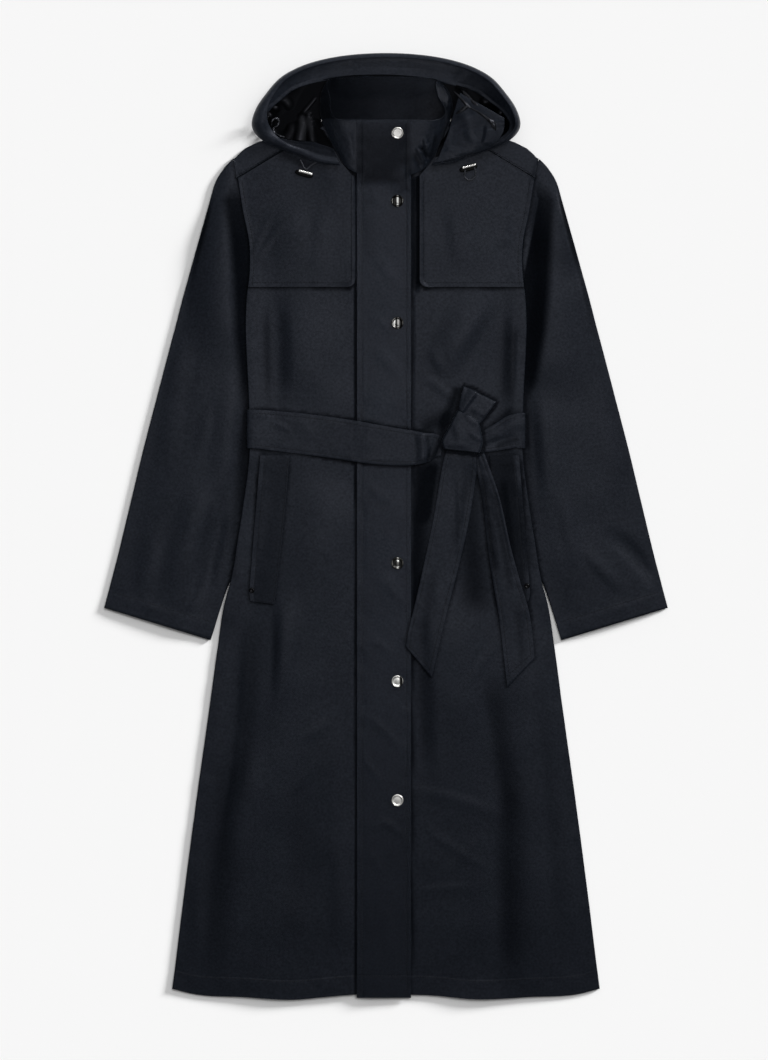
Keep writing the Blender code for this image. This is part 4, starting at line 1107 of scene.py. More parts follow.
KNOT = table(
    "y left right",
    (101.5, 78, 126), (104.5, 76.3, 127.6), (113, 74.6, 130.2), (122, 79, 130),
    (131.6, 84.3, 128), (143, 89.8, 125.5), (150, 93.3, 118.5), (153.8, 96.2, 108),
)
KNOT_TILT = -5.5
KNOT_FOLDS = folds(
    (132, 114, 112, 132, 7, 4, 0.7, 2, 0.35),
    (88, 148, 100, 104, 14, 10, 0.7, 3, 0.3),
    (76, 110, 114, 106, 8, 6, 0.6, 2, 0.3),
    (106, 156, 124, 136, 4, 7, 0.6, -2, 0.3),
)


def knot():
    """Belt cloth wrapped once round the crossing: nearly flat on top, steep at its edges."""
    at = np.linspace(0.0, len(KNOT) - 1.0, 60)
    y, left, right = (along(KNOT, key, at)[:, None] for key in ("y", "left", "right"))
    share = shares(54.0, 1.0)[None, :]
    x = mix(left, right, share)
    y = y + KNOT_TILT * (share - 0.5)
    solid = sample(solid_top("belt_knot", sigma=3.0), x, y)
    rim = np.minimum(np.minimum(share, 1 - share) * (right - left),
                     np.minimum(at, at[::-1])[:, None] * 7.0)
    flat = np.nanmax(solid) - 3.4 + 0.03 * (x - 103.0) - 0.02 * (y - 126.0)
    z = mix(solid, flat, 0.75) + creases(x, y, KNOT_FOLDS) - 7.0 * np.exp(-(rim / 1.1) ** 1.6)
    obj = cloth_piece("knot_cloth", np.stack([x, y, over(z, x, y, clear=1.3)], -1), "belt_knot")
    cover(obj)
    wall(obj, 1.2, True)


LOOP = table(
    "left_x left_y right_x right_y",
    (97, 140, 122, 134), (98, 158, 132, 145), (101, 176, 141, 157), (104, 187, 147, 166),
)
LOOP_FOLDS = folds(
    (125, 184, 100.5, 151, 1.8, 15, 2.6, 0, 0.12),
    (141, 164, 128, 146, 6, 9, 1.2, 2, 0.3),
    (112, 162, 128, 152, 6, 8, 1, 1, 0.3),
)


def loop():
    """Half bow: a doubled strip, open as a soft tube at its far fold."""
    at = np.linspace(0.0, len(LOOP) - 1.0, 30)
    lx, ly, rx, ry = (along(LOOP, key, at)[:, None]
                      for key in ("left_x", "left_y", "right_x", "right_y"))
    share = shares(44.0, 2.0)[None, :]
    x, y = mix(lx, rx, share), mix(ly, ry, share)
    edge = np.minimum(share, 1.0 - share) * np.hypot(rx - lx, ry - ly)
    z = sample(solid_top("belt_loop", sigma=3.0), x, y) + creases(x, y, LOOP_FOLDS)
    z = z - 0.5 * near(edge, 0.0, 0.9) - 0.22 * near(edge, 5.0, 1.3)
    low = over(z * 0.0, x, y, clear=1.4)
    top = np.stack([x, y, np.maximum(z, low + 1.6)], -1)
    out = unit((top[-1] - top[-4])[:, :2])
    half = (top[-1, :, 2] - low[-1]) / 2.0
    tip = rolled(top[-1], (25.0, 50.0, 75.0, 100.0, 125.0, 150.0), out[:, 0] * half,
                 out[:, 1] * half, half).swapaxes(0, 1)
    points = np.concatenate([top, tip, np.stack([x, y, low], -1)[::-1]], 0)
    obj = cloth_piece("loop_cloth", points, "belt_loop")
    cover(obj)
    wall(obj, 1.0, False)


# ---------------------------------------------------------------- collar and hood
COLLAR = table(
    "low_x low_y low_z mid_x mid_y mid_z top_x top_y top_z",
    (0, 472, 9, 0, 508, 26, 0, 546.8, 42), (30, 474, 9, 32, 509, 26, 34, 546.8, 42),
    (52, 484, 9, 58, 514, 25, 62, 546.5, 40), (64, 500, 9, 72, 530, 23, 76, 551, 35),
    (72, 518, 8.6, 81, 545, 19, 79, 561, 29), (78, 534, 7.6, 88, 566, 14, 70, 578, 22),
    (76, 545, 6, 84, 584, 7.4, 66.5, 594, 13), (62, 546, 5, 70, 584, 5.2, 66, 603, 6.6),
    (34, 543, 5, 36, 575, 5, 38, 606, 5.4), (0, 541, 5, 0, 574, 5, 0, 606.6, 5.4),
    (-34, 543, 5, -40, 575, 5, -44, 606.4, 5.4), (-62, 546, 5, -72, 584, 5.2, -75, 604, 6.4),
    (-76, 545, 6, -86, 580, 8, -79, 593, 13), (-79, 534, 7.6, -88, 564, 14, -75.5, 578, 22),
    (-72, 518, 8.6, -80, 543, 20, -74, 562, 31), (-62, 500, 9, -66, 524, 24, -70, 551, 37),
    (-51, 484, 9, -54, 512, 25, -57, 546.8, 41), (-30, 474, 9, -32, 509, 26, -33, 546.8, 42),
)
LEFT_ROLL = 6.0
HOOD = table(
    "x y seam_x seam_y height slope roll turn",
    (62, 487, 71, 510, 10, 14, 6, 100), (90, 490.2, 84, 520, 12, 22, 6, 110),
    (116.5, 500, 92, 528, 15, 26, 7, 120), (139.5, 507.5, 95, 535, 21, 32, 8, 130),
    (160, 516, 97, 541, 28, 40, 11, 130), (176, 529, 98, 547, 34, 46, 14, 130),
    (181, 543, 98, 552, 38, 50, 14, 125), (175.5, 562, 96, 556, 38, 52, 12, 110),
    (164, 580, 92, 557, 36, 50, 9, 100), (144.5, 602.8, 82, 557, 32, 46, 7, 90),
    (122, 617, 70, 556, 28, 38, 6, 90), (96, 626.8, 54, 554, 24, 28, 6, 90),
    (66, 633.5, 36, 552, 21, 24, 6, 90), (34, 637.2, 18, 550, 19, 23, 6, 90),
    (0, 638.5, 0, 549, 18, 22, 6, 90),
)
HOOD_CORNER = table(
    "left_x left_y left_z right_x right_y right_z",
    (66, 490, 22, 140, 510, 26), (72, 505, 25, 150, 520, 33), (81, 528, 28, 158, 532, 38),
    (96, 578, 33, 159, 546, 43), (100, 586, 27, 157, 553, 36), (104, 594, 17, 153, 560, 25),
)
HOOD_BAND = 5


def hood_section(station, inside):
    """Nominal path of the hood cloth at one station: neck seam, slope, rolled edge."""
    outline = np.array((station.x, station.y))
    seam = np.array((station.seam_x, station.seam_y))
    reach = np.linalg.norm(seam - outline)
    wall_height = 0.6 * station.height
    path = [(reach, 0.0)]
    slope = min(station.slope, reach - 3.0)
    path.append((mix(reach, slope, 0.5), 0.0))
    for step in range(6):
        a = math.radians(90.0 * step / 5)
        path.append((slope * (1 - math.sin(a)), wall_height * (1 - math.cos(a))))
    for step in range(1, 5):
        a = math.radians(station.turn * step / 4)
        path.append((station.roll * (1 - math.cos(a)),
                     wall_height + 0.4 * station.height * math.sin(a)))
    path = np.array(path)
    before = path[[max(i - 1, 0) for i in range(len(path))]]
    after = path[[min(i + 1, len(path) - 1) for i in range(len(path))]]
    direction = unit(after - before)
    path = path + inside * np.stack([direction[:, 1], -direction[:, 0]], -1)
    flat = outline + (seam - outline) / reach * path[:, :1]
    return np.concatenate([flat, path[:, 1:]], 1)


def hood_stations():
    right = [row._replace(x=-row.x, seam_x=-row.seam_x) for row in HOOD]
    left = [row._replace(roll=min(row.roll, LEFT_ROLL), turn=min(row.turn, 95.0)) for row in HOOD]
    return right + list(reversed(left))[1:]


def seated(nominal, node):
    """Heights of a nominal grid, read from the solid's own points at the same places."""
    known = points_of(frame["nodes"][node])
    out = nominal.copy()
    for index in np.ndindex(nominal.shape[:2]):
        place = nominal[index]
        here = known[np.hypot(known[:, 0] - place[0], known[:, 1] - place[1]) < 0.06]
        here = here[here[:, 2] > place[2] - 0.7]
        out[index][2] = here[:, 2].min() if len(here) else np.nan
    out[..., 2] = patch(out[..., 2])
    return out


def refine(grid, rows, columns, wrap=False):
    """A finer grid on the smooth surface through a coarse one."""
    def along_axis(values, count, loop):
        n = values.shape[0]
        at = np.linspace(0.0, n if loop else n - 1.0, count, endpoint=not loop)
        i = np.floor(at).astype(int)
        t = (at - i)[:, None, None]

        def pick(k):
            return values[(i + k) % n] if loop else values[np.clip(i + k, 0, n - 1)]

        p0, p1, p2, p3 = pick(-1), pick(0), pick(1), pick(2)
        return 0.5 * (2 * p1 + (p2 - p0) * t + (2 * p0 - 5 * p1 + 4 * p2 - p3) * t ** 2
                      + (3 * p1 - p0 - 3 * p2 + p3) * t ** 3)
    out = along_axis(grid, rows, False)
    return along_axis(out.transpose(1, 0, 2), columns, wrap).transpose(1, 0, 2)


def normals(grid):
    du, dv = np.gradient(grid, axis=0), np.gradient(grid, axis=1)
    n = np.cross(dv, du)
    return n / np.maximum(np.linalg.norm(n, axis=-1, keepdims=True), 1e-9)


def wave(u, v, row):
    """One fold on a grid of its own: its place, width, height, and span along the other way."""
    centre = row.u + row.drift * (v - 0.5 * (row.v0 + row.v1))
    away = np.clip(np.abs(u - centre) / row.width, 0.0, 1.0)
    span = ease(v, row.v0, row.v0 + row.soft) * ease(v, row.v1, row.v1 - row.soft)
    return row.rise * span * (0.5 + 0.5 * np.cos(math.pi * away))


COLLAR_ROWS, COLLAR_COLUMNS = 34, 240
COLLAR_WAVE = table("u width rise v0 v1 soft drift", (0.7, 0.02, 1.2, 0.1, 0.9, 0.3, 0.02))[0]
BACK_COLLAR_LEAN = 7.0
COLLAR_FOLDS = folds(
    (39, 512, 53, 486, 3, 4, 4.2, 2, 0.3),
    (52, 526, 62, 498, 3.4, 4.4, 4, -2, 0.3),
    (45, 514, 58, 495, 3, 3, -4.2, 0, 0.3),
    (60, 518, 43, 503, 3.4, 2.8, 3, 2, 0.3),
    (36, 500, 48, 482, 3, 2.4, -1.8, 0, 0.3),
    (66, 538, 62, 512, 5, 4, 1.2, 1, 0.35),
    (-52, 540, -46, 486, 6, 9, 0.9, 2, 0.35),
    (-70, 542, -60, 505, 5, 6, 0.8, -2, 0.35),
)
COLLAR_SHADES = folds(
    (46, 514, 58, 496, 3, 3, 0.9, 0, 0.3),
    (36, 506, 47, 484, 4, 2.6, 0.8, 0, 0.3),
    (68, 534, 57, 492, 7, 3.5, 0.8, 0, 0.25),
    (-84, 536, -64, 492, 4, 7, 0.5, 0, 0.3),
)


def collar():
    low, mid, top = (columns_of(COLLAR, "%s_x %s_y %s_z" % (name, name, name))
                     for name in ("low", "mid", "top"))
    grid = [2.0 * (s - 0.5) * (s - 1.0) * low - 4.0 * s * (s - 1.0) * mid
            + 2.0 * s * (s - 0.5) * top for s in np.linspace(0.0, 1.0, 5)]
    fine = refine(np.array(grid), COLLAR_ROWS, COLLAR_COLUMNS, wrap=True)
    u = (np.arange(COLLAR_COLUMNS) / COLLAR_COLUMNS)[None, :]
    v = np.linspace(0.0, 1.0, COLLAR_ROWS)[:, None]
    lift = wave(u, v, COLLAR_WAVE) + 0.35 * np.sin(u * 61.0 + 9.0 * v) * np.sin(v * 7.0) ** 2
    fine = fine - normals(np.concatenate([fine, fine[:, :1]], 1))[:, :-1] * lift[..., None]
    x, y = fine[..., 0], fine[..., 1]
    fine[..., 2] += BACK_COLLAR_LEAN * v * ease(y, 570.0, 603.0) * ease(np.abs(x), 84.0, 64.0)
    in_front = ease(y, 549.0, 545.0)
    fine[..., 2] += in_front * creases(x, y, COLLAR_FOLDS)
    obj = cloth_piece("collar_cloth", fine, "collar", wrap=True)
    # painted shade: darker in the front's folds and over the collar's inside
    folded = in_front * np.clip(creases(x, y, COLLAR_SHADES), 0.0, 1.0)
    inside = ease(y, 546.5, 551.0) * np.clip(
        0.86 - 0.0035 * (x + 40.0) + 0.10 * sample(SOFT, x * 2.0, y * 2.0), 0.35, 1.0)
    by_point(obj, "shade", np.maximum(inside, folded))
    top_row = fine[COLLAR_ROWS - 3] + (0.0, 0.0, 0.3)
    sew("collar_stitches", [np.concatenate([top_row, top_row[:1]])])
    wall(obj, 1.2, False, side=1.0)


def hood_grid(inside):
    return np.array([hood_section(station, inside) for station in hood_stations()])


BAND_WIDTH = table(
    "station width",
    (0, 24), (2, 25), (4, 21), (5, 17), (6, 16), (7, 18), (9, 24), (11, 29), (14, 33), (18, 32),
    (20, 25), (22, 15), (24, 12), (28, 12),
)
TOP_OF_WALL = 7
BAND_FOLDS = folds(
    (-50, 630, -34, 614, 5, 7, 0.9, 1, 0.35),
    (-96, 622, -82, 604, 10, 14, 0.5, 1, 0.35),
    (-152, 592, -126, 576, 9, 12, 0.8, 1, 0.35),
    (-170, 558, -148, 566, 8, 8, 0.9, 1, 0.35),
    (18, 632, 30, 612, 12, 16, 0.5, 1, 0.35),
    (74, 630, 62, 606, 10, 14, 0.5, -1, 0.35),
    (110, 618, 90, 596, 12, 9, 0.8, -1, 0.35),
    (144, 600, 116, 582, 10, 12, 0.9, 1, 0.35),
)
LINING_FOLDS = folds(
    (-92, 582, -115, 556, 4, 5, 1.8, 1, 0.25),
    (-114, 560, -122, 506, 12, 9, 2.6, 2, 0.3),
    (-104, 570, -98, 506, 8, 7, 1.5, -2, 0.3),
    (-124, 552, -138, 514, 8, 10, 1.2, 2, 0.4),
    (-152, 584, -126, 560, 10, 8, 1.2, 4, 0.35),
    (-165, 562, -153, 549, 3.6, 4, 2.4, 1, 0.3),
    (-161, 571, -144, 560, 4, 4, 2, 1, 0.35),
    (120, 606, 92, 590, 9, 10, 1.3, 3, 0.35),
    (152, 584, 126, 564, 7, 8, 1.6, -3, 0.35),
    (159, 568, 145, 550, 5, 6, 2, 2, 0.35),
    (56, 594, 74, 572, 9, 8, 1.2, 1, 0.35),
)


def across_rows(grid, begin, end, count):
    """Each row of a grid, re-read at even steps between two of its own places."""
    at = begin[:, None] + (end - begin)[:, None] * np.linspace(0.0, 1.0, count)[None, :]
    low = np.clip(np.floor(at).astype(int), 0, grid.shape[1] - 2)
    part = (at - low)[..., None]
    rows = np.arange(grid.shape[0])[:, None]
    return grid[rows, low] * (1.0 - part) + grid[rows, low + 1] * part


SHELL_ROWS, SHELL_COLUMNS = 330, 60
INNER_ROWS, INNER_COLUMNS = 380, 121
BAND_COLUMNS, BAND_WALL_COLUMNS = 60, 32
SATIN_COLUMNS, TUCK_COLUMNS = 64, 5
NECK_TUCK = 11.0
BAND_DEPTH_SHADE = 0.65


def hood_band(band, station, width):
    """The shell's own cloth, turned in along the hood's edge."""
    reach = band[..., 3]
    inset = (width - reach) * (np.arange(BAND_COLUMNS) < BAND_WALL_COLUMNS)
    lift = creases(band[..., 0], band[..., 1], BAND_FOLDS) * ease(inset, 0.0, 4.0)
    lift += 0.35 * sample(PUCKER, station * 17.0 - 200.0, inset * 0.5) * near(inset, 4.0, 6.0)
    lift += 0.6 * near(inset, 0.0, 2.5) + seam_line(inset - 6.0, width=1.4, depth=0.35)
    band[..., 2] += lift
    obj = cloth_piece("hood_band_cloth", band[..., :3], "hood_facing", flip=True)
    by_point(obj, "shade", BAND_DEPTH_SHADE * ease(reach, 9.5, 12.5) * ease(station, 6.5, 4.5))
    sew("hood_stitches", [band[6:-6, 9, :3] + (0.0, 0.0, 0.5)])
    wall(obj, 0.9, False, side=1.0)


def hood_lining(satin):
    """The satin inside the band, tucked in behind the collar at the neck."""
    inward = unit((satin[:, 0] - satin[:, 3]) * (1.0, 1.0, 0.0))
    steps = np.linspace(1.0, 0.2, TUCK_COLUMNS)[None, :]
    tuck = satin[:, :1] + inward[:, None] * (NECK_TUCK * steps)[..., None]
    tuck[..., 2] -= np.linspace(2.0, 0.2, TUCK_COLUMNS)[None, :]
    satin = np.concatenate([tuck, satin], 1)
    x, y, count = satin[..., 0], satin[..., 1], satin.shape[1]
    wrinkle = np.maximum(creases(x, y, LINING_FOLDS), -1.0) * ease(
        np.arange(count)[None, :], count, count - 10.0)
    satin[..., 2] += wrinkle + 0.5 * sample(PUCKER, x * 0.7, y * 0.4)
    satin[..., 2] = np.maximum(satin[..., 2], 2.4)
    obj = cloth_piece("hood_lining_cloth", satin, "hood_lining", flip=True, material=LINING,
                      slot="lining_cloth")
    # painted highlight: the satin gets more gloss where its wrinkles stand up
    by_point(obj, "shine", ease(wrinkle, 0.2, 2.2))
    wall(obj, 0.7, True, side=1.0)


def hood():
    """Shell, the self-cloth band inside the edge, and the satin lining beyond it."""
    shell = refine(seated(hood_grid(0.0), "hood_shell"), SHELL_ROWS, SHELL_COLUMNS)
    shell[..., 2] = np.maximum(shell[..., 2], 1.0)
    wall(cloth_piece("hood_cloth", shell, "hood_shell", flip=True), 0.9, False, side=1.0)

    inner = hood_grid(CLOTH + 2.5 * GAP)
    lining = seated(inner[:, :HOOD_BAND + 1], "hood_lining")
    inner[:, HOOD_BAND] += unit(inner[:, HOOD_BAND + 1] - inner[:, HOOD_BAND]) * GAP * 1.5
    facing = seated(inner[:, HOOD_BAND:], "hood_facing")
    coarse = np.concatenate([lining[:, :HOOD_BAND], facing], 1)
    outline = np.array([(station.x, station.y) for station in hood_stations()])
    away = np.linalg.norm(coarse[..., :2] - outline[:, None], axis=-1)[..., None]
    fine = refine(np.concatenate([coarse, away], -1), INNER_ROWS, INNER_COLUMNS)
    wall_top = round(TOP_OF_WALL * (INNER_COLUMNS - 1) / (coarse.shape[1] - 1))
    station = np.linspace(0.0, len(outline) - 1.0, INNER_ROWS)
    width = curve(BAND_WIDTH, "station", "width", station)
    split = np.array([np.interp(-w, -row[:wall_top, 3], np.arange(wall_top))
                      for row, w in zip(fine, width)])
    hood_band(across_rows(fine, split, np.full_like(split, INNER_COLUMNS - 1.0), BAND_COLUMNS),
              station[:, None], width[:, None])
    hood_lining(across_rows(fine, np.zeros_like(split), split + 1.5, SATIN_COLUMNS)[..., :3])


CORNER_ROWS = 3.35
CORNER_FOLDS = folds(
    (136, 541, 130, 512, 26, 5, 3.2, 2, 0.25),
    (92, 568, 116, 530, 9, 12, 1.3, 3, 0.3),
    (80, 540, 132, 552, 10, 8, 1.1, 3, 0.3),
    (74, 512, 112, 500, 8, 7, 1, -2, 0.3),
    (108, 536, 128, 508, 7, 9, 1.2, -2, 0.3),
)
CORNER_SEAM_Y, CORNER_SEAM_SLOPE = 534.0, 0.12
CORNER_FINE_ROWS, CORNER_FINE_COLUMNS = 110, 76


def hood_corner():
    """The hood's front corner, turned back over the shoulder."""
    steps = np.linspace(0.0, 1.0, 6)[None, :, None]
    left = columns_of(HOOD_CORNER, "left_x left_y left_z")
    right = columns_of(HOOD_CORNER, "right_x right_y right_z")
    nominal = mix(left[:, None], right[:, None], steps)
    nominal[..., 2] += 1.4 * np.sin(math.pi * steps[..., 0])
    fine = refine(seated(nominal, "hood_front_facing"), CORNER_FINE_ROWS, CORNER_FINE_COLUMNS)
    fine = fine[:round(CORNER_FINE_ROWS * CORNER_ROWS / (len(HOOD_CORNER) - 1.0)), 3:]
    rows, columns = fine.shape[:2]
    x, y = fine[..., 0], fine[..., 1]
    rim = np.minimum(ease(np.arange(rows)[:, None], 0.0, 9.0),
                     ease(np.arange(columns)[None, :], 0.0, 9.0))
    seam = y - CORNER_SEAM_Y - CORNER_SEAM_SLOPE * (x - 100.0)
    fine[..., 2] += creases(x, y, CORNER_FOLDS) * rim + seam_line(seam, width=1.8, depth=0.5)
    fine[..., 2] += 0.35 * sample(PUCKER, x * 0.6, y * 0.6) * rim
    obj = cloth_piece("hood_corner_cloth", fine, "hood_front_facing")
    ahead = np.linspace(84.0, 138.0, 24)
    beside_seam = CORNER_SEAM_Y - 2.5 + CORNER_SEAM_SLOPE * (ahead - 100.0)
    sew("corner_stitches", [line_of(ahead, beside_seam)], obj)
    wall(obj, 0.9, False, side=1.0)


GATHERS = {
    "lining_roll": table(
        "x y z radius",
        (92, 585, 31.5, 0.8), (99, 577.5, 34.1, 1.7), (107, 569, 36.3, 2.2),
        (115, 562.5, 37.5, 1.3), (124, 557, 39.3, 1.5), (134, 550.5, 40.5, 2.2),
        (142, 544, 40.8, 3), (146, 536, 39.8, 2.4), (146, 530, 38.9, 0.8),
    ),
    "lining_tuck_upper": table(
        "x y z radius",
        (98, 592, 14, 1.4), (105, 585, 23, 3), (111, 577, 31, 3.4), (118, 570, 37.2, 2.2),
        (124, 566, 38.7, 1),
    ),
    "lining_tuck_lower": table(
        "x y z radius",
        (111, 566.5, 36.8, 2.2), (105, 562, 36.4, 2.8), (99, 558, 35.3, 1.9),
        (94, 555.5, 32.8, 0.9),
    ),
    "lining_curl_upper": table(
        "x y z radius",
        (-155, 541, 5.6, 1.2), (-154, 547, 6, 2.3), (-149, 550.5, 5.2, 2.6),
        (-144.5, 547, 4.2, 2.2), (-147, 541, 4.2, 2), (-152, 537, 5, 2), (-150.5, 531, 6.2, 1.9),
        (-144, 527, 7, 1.7), (-137, 525.5, 6.8, 1),
    ),
    "lining_curl_lower": table(
        "x y z radius",
        (-163, 561, 14, 1.1), (-159.5, 556, 10.4, 2.3), (-160.5, 550, 9, 2),
        (-164, 545, 9.6, 1.1),
    ),
}
GATHER_ROWS, GATHER_COLUMNS = 90, 28


def gather(name):
    """A crumpled roll of satin where the lining bunches up."""
    line = refine(columns_of(GATHERS[name], "x y z radius")[:, None], GATHER_ROWS, 1)[:, 0]
    aside, up = across_line(np.gradient(line[:, :3], axis=0))
    turn = np.linspace(0.0, math.tau, GATHER_COLUMNS, endpoint=False)
    row = np.arange(GATHER_ROWS)[:, None]
    crumple = 1.0 + 0.16 * np.sin(row * 0.31 + 3.0 * turn) * np.sin(row * 0.13 + turn)
    radius = line[:, 3:] * crumple
    points = (line[:, None, :3] + aside[:, None] * (radius * np.cos(turn))[..., None]
              + up[:, None] * (0.7 * radius * np.sin(turn))[..., None])
    flip_faces(mesh_piece(name, points.reshape(-1, 3), tube_faces(GATHER_ROWS, GATHER_COLUMNS),
                          SATIN))


# ---------------------------------------------------------------- fittings
def turned(name, profile, steps, centre, normal, material, nodes):
    """A round metal piece from its profile, set on the cloth."""
    points = []
    for radius, height in profile:
        for k in range(steps):
            a = math.tau * k / steps
            points.append((radius * math.cos(a), radius * math.sin(a), height))
    turn = np.array(Vector((0, 0, 1)).rotation_difference(Vector(normal)).to_matrix())
    points = np.array(points) @ turn.T + np.array(centre)
    flip_faces(mesh_piece(name, points, tube_faces(len(profile), steps), material,
                          nodes))


def seat_of(node):
    """Centre and axis of a flat round solid."""
    points = points_of(frame["nodes"][node])
    centre = points.mean(0)
    axis = np.linalg.svd(points - centre)[2][2]
    axis = axis if axis[2] > 0 else -axis
    depth = (points - centre) @ axis
    return centre + axis * depth.min(), axis


SNAP = ((8.3, 0.0), (8.4, 0.7), (8.3, 1.5), (7.9, 2.2), (7.3, 2.55), (6.7, 2.5), (6.2, 2.15),
        (5.9, 1.75), (5.6, 1.65), (4.2, 1.75), (2.4, 1.85), (0.6, 1.9))
RIVET = ((3.55, 0.0), (3.6, 0.6), (3.4, 1.2), (2.9, 1.65), (2.2, 1.75), (1.5, 1.5), (1.0, 1.1),
         (0.3, 1.0))


def fittings():
    for number in range(1, 7):
        node = "snap_%d" % number
        reflection_stops = SNAP_PAINTED_REFLECTIONS.get(number)
        material = painted_reflection_nickel("nickel_%d" % number, *reflection_stops) if reflection_stops else METAL
        turned(node + "_cap", SNAP[::-1], 64, *seat_of(node), material, (node,))
    for tag in ("left", "right"):
        node = "pocket_rivet_" + tag
        turned("rivet_cap_" + tag, RIVET[::-1], 40, *seat_of(node), GUNMETAL, (node,))


CORDS = {
    "right": table(
        "x y up",
        (-115.5, 494.5, 4.4), (-112.5, 488, 3.6), (-109.6, 482.8, 3.4), (-106.4, 482.2, 3.4),
        (-101, 487, 3.6), (-94, 491.2, 4.4),
    ),
    "left": table(
        "x y up",
        (107, 481, 5.2), (106, 477, 4.8), (105.8, 472.6, 2.2), (109.4, 468.2, 1.5),
        (115.6, 468, 1.5), (120, 472.4, 1.9), (120.8, 478, 3.9), (119.2, 484, 5.2),
    ),
}
CORD_DIAMETER = 2.2
CORD_POINTS = 33


def drawcord(tag):
    """Elastic cord that leaves the hood's hem, passes the toggle and goes back in."""
    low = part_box("toggle_stop_" + tag)[0][2] / MM
    route = columns_of(CORDS[tag], "x y up") + (0.0, 0.0, low)
    route = refine(route[:, None], CORD_POINTS, 1)[:, 0] * MM
    data = bpy.data.curves.new("drawcord_line_" + tag, "CURVE")
    data.dimensions = "3D"
    data.bevel_depth = CORD_DIAMETER * MM / 2.0
    data.bevel_resolution = 5
    data.use_fill_caps = True
    line = data.splines.new("POLY")
    line.points.add(CORD_POINTS - 1)
    for point, place in zip(line.points, route):
        point.co = (*place, 1.0)
    data.materials.append(CORD)
    obj = bpy.data.objects.new("drawcord_line_" + tag, data)
    bpy.context.scene.collection.objects.link(obj)
    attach(obj, "root")
    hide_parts("drawcord_" + tag)


def long_axis(node):
    """Centre, long axis and half length of a slender solid."""
    points = points_of(frame["nodes"][node])
    centre = (points.max(0) + points.min(0)) / 2.0
    axis = np.linalg.svd(points - points.mean(0))[2][0]
    return centre, axis * np.sign(axis[0]), np.abs((points - centre) @ axis).max()


BAR_RADIUS = 2.25
BAR_GROOVES = 9
STOP_ROWS, STOP_COLUMNS = 22, 64


def toggle_bar(tag):
    """Knurled metal barrel with a collar at each end."""
    node = "toggle_bar_" + tag
    centre, axis, half = long_axis(node)
    share = np.linspace(-1.0, 1.0, 120)
    groove = 0.16 * np.cos(share * BAR_GROOVES * math.tau / 2.0) * (np.abs(share) < 0.74)
    radius = BAR_RADIUS - 0.28 * (np.abs(share) < 0.76) + groove * 0.7
    radius = radius * np.sqrt(np.clip(1.0 - np.abs(share) ** 26, 0.02, 1.0))
    turned("toggle_barrel_" + tag, list(zip(radius, share * half)), 32, centre, axis, METAL,
           (node,))


def power(value, exponent):
    """A power that keeps the sign."""
    return math.copysign(abs(value) ** exponent, value)


def toggle_stop(tag):
    """Moulded lozenge below the barrel, with rounded ends and edges."""
    node = "toggle_stop_" + tag
    centre, axis, half = long_axis(node)
    low, high = (np.array(corner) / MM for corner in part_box(node))
    depth, thick = 4.0, (high[2] - low[2]) / 2.0
    across = np.array((-axis[1], axis[0], 0.0))
    up = np.array((0.0, 0.0, 1.0))
    points = []
    for tilt in np.linspace(-math.pi / 2.0 + 0.05, math.pi / 2.0 - 0.05, STOP_ROWS):
        ring = math.cos(tilt) ** 0.45
        rise = power(math.sin(tilt), 0.6) * thick
        for a in np.linspace(0.0, math.tau, STOP_COLUMNS, endpoint=False):
            points.append(centre + axis * power(math.cos(a), 0.7) * half * ring
                          + across * power(math.sin(a), 0.8) * depth * ring + up * rise)
    flip_faces(mesh_piece("toggle_lozenge_" + tag, points, tube_faces(STOP_ROWS, STOP_COLUMNS),
                          PLASTIC, (node,)))


def flip_faces(obj):
    """Turns a mesh's faces outwards."""
    form = bmesh.new()
    form.from_mesh(obj.data)
    bmesh.ops.recalc_face_normals(form, faces=form.faces)
    form.to_mesh(obj.data)
    form.free()


# ---------------------------------------------------------------- shade beside raised edges
SHADE_FROM, SHADE_FULL, SHADE_MOST = 0.4, 2.6, 0.85


def shade_near_edges(obj):
    """Darkens cloth that lies close beside a higher edge, as light hardly reaches it."""
    x, y, z = points_of(obj).T
    reach = np.maximum(TOP, beside(TOP, 0.0).max(0))
    shade = SHADE_MOST * ease(sample(blur(reach, 1.2), x, y) - z, SHADE_FROM, SHADE_FULL)
    if "shade" in obj.data.attributes:
        known = np.zeros(len(x), np.float32)
        obj.data.attributes["shade"].data.foreach_get("value", known)
        shade = np.maximum(shade, known)
    by_point(obj, "shade", shade)


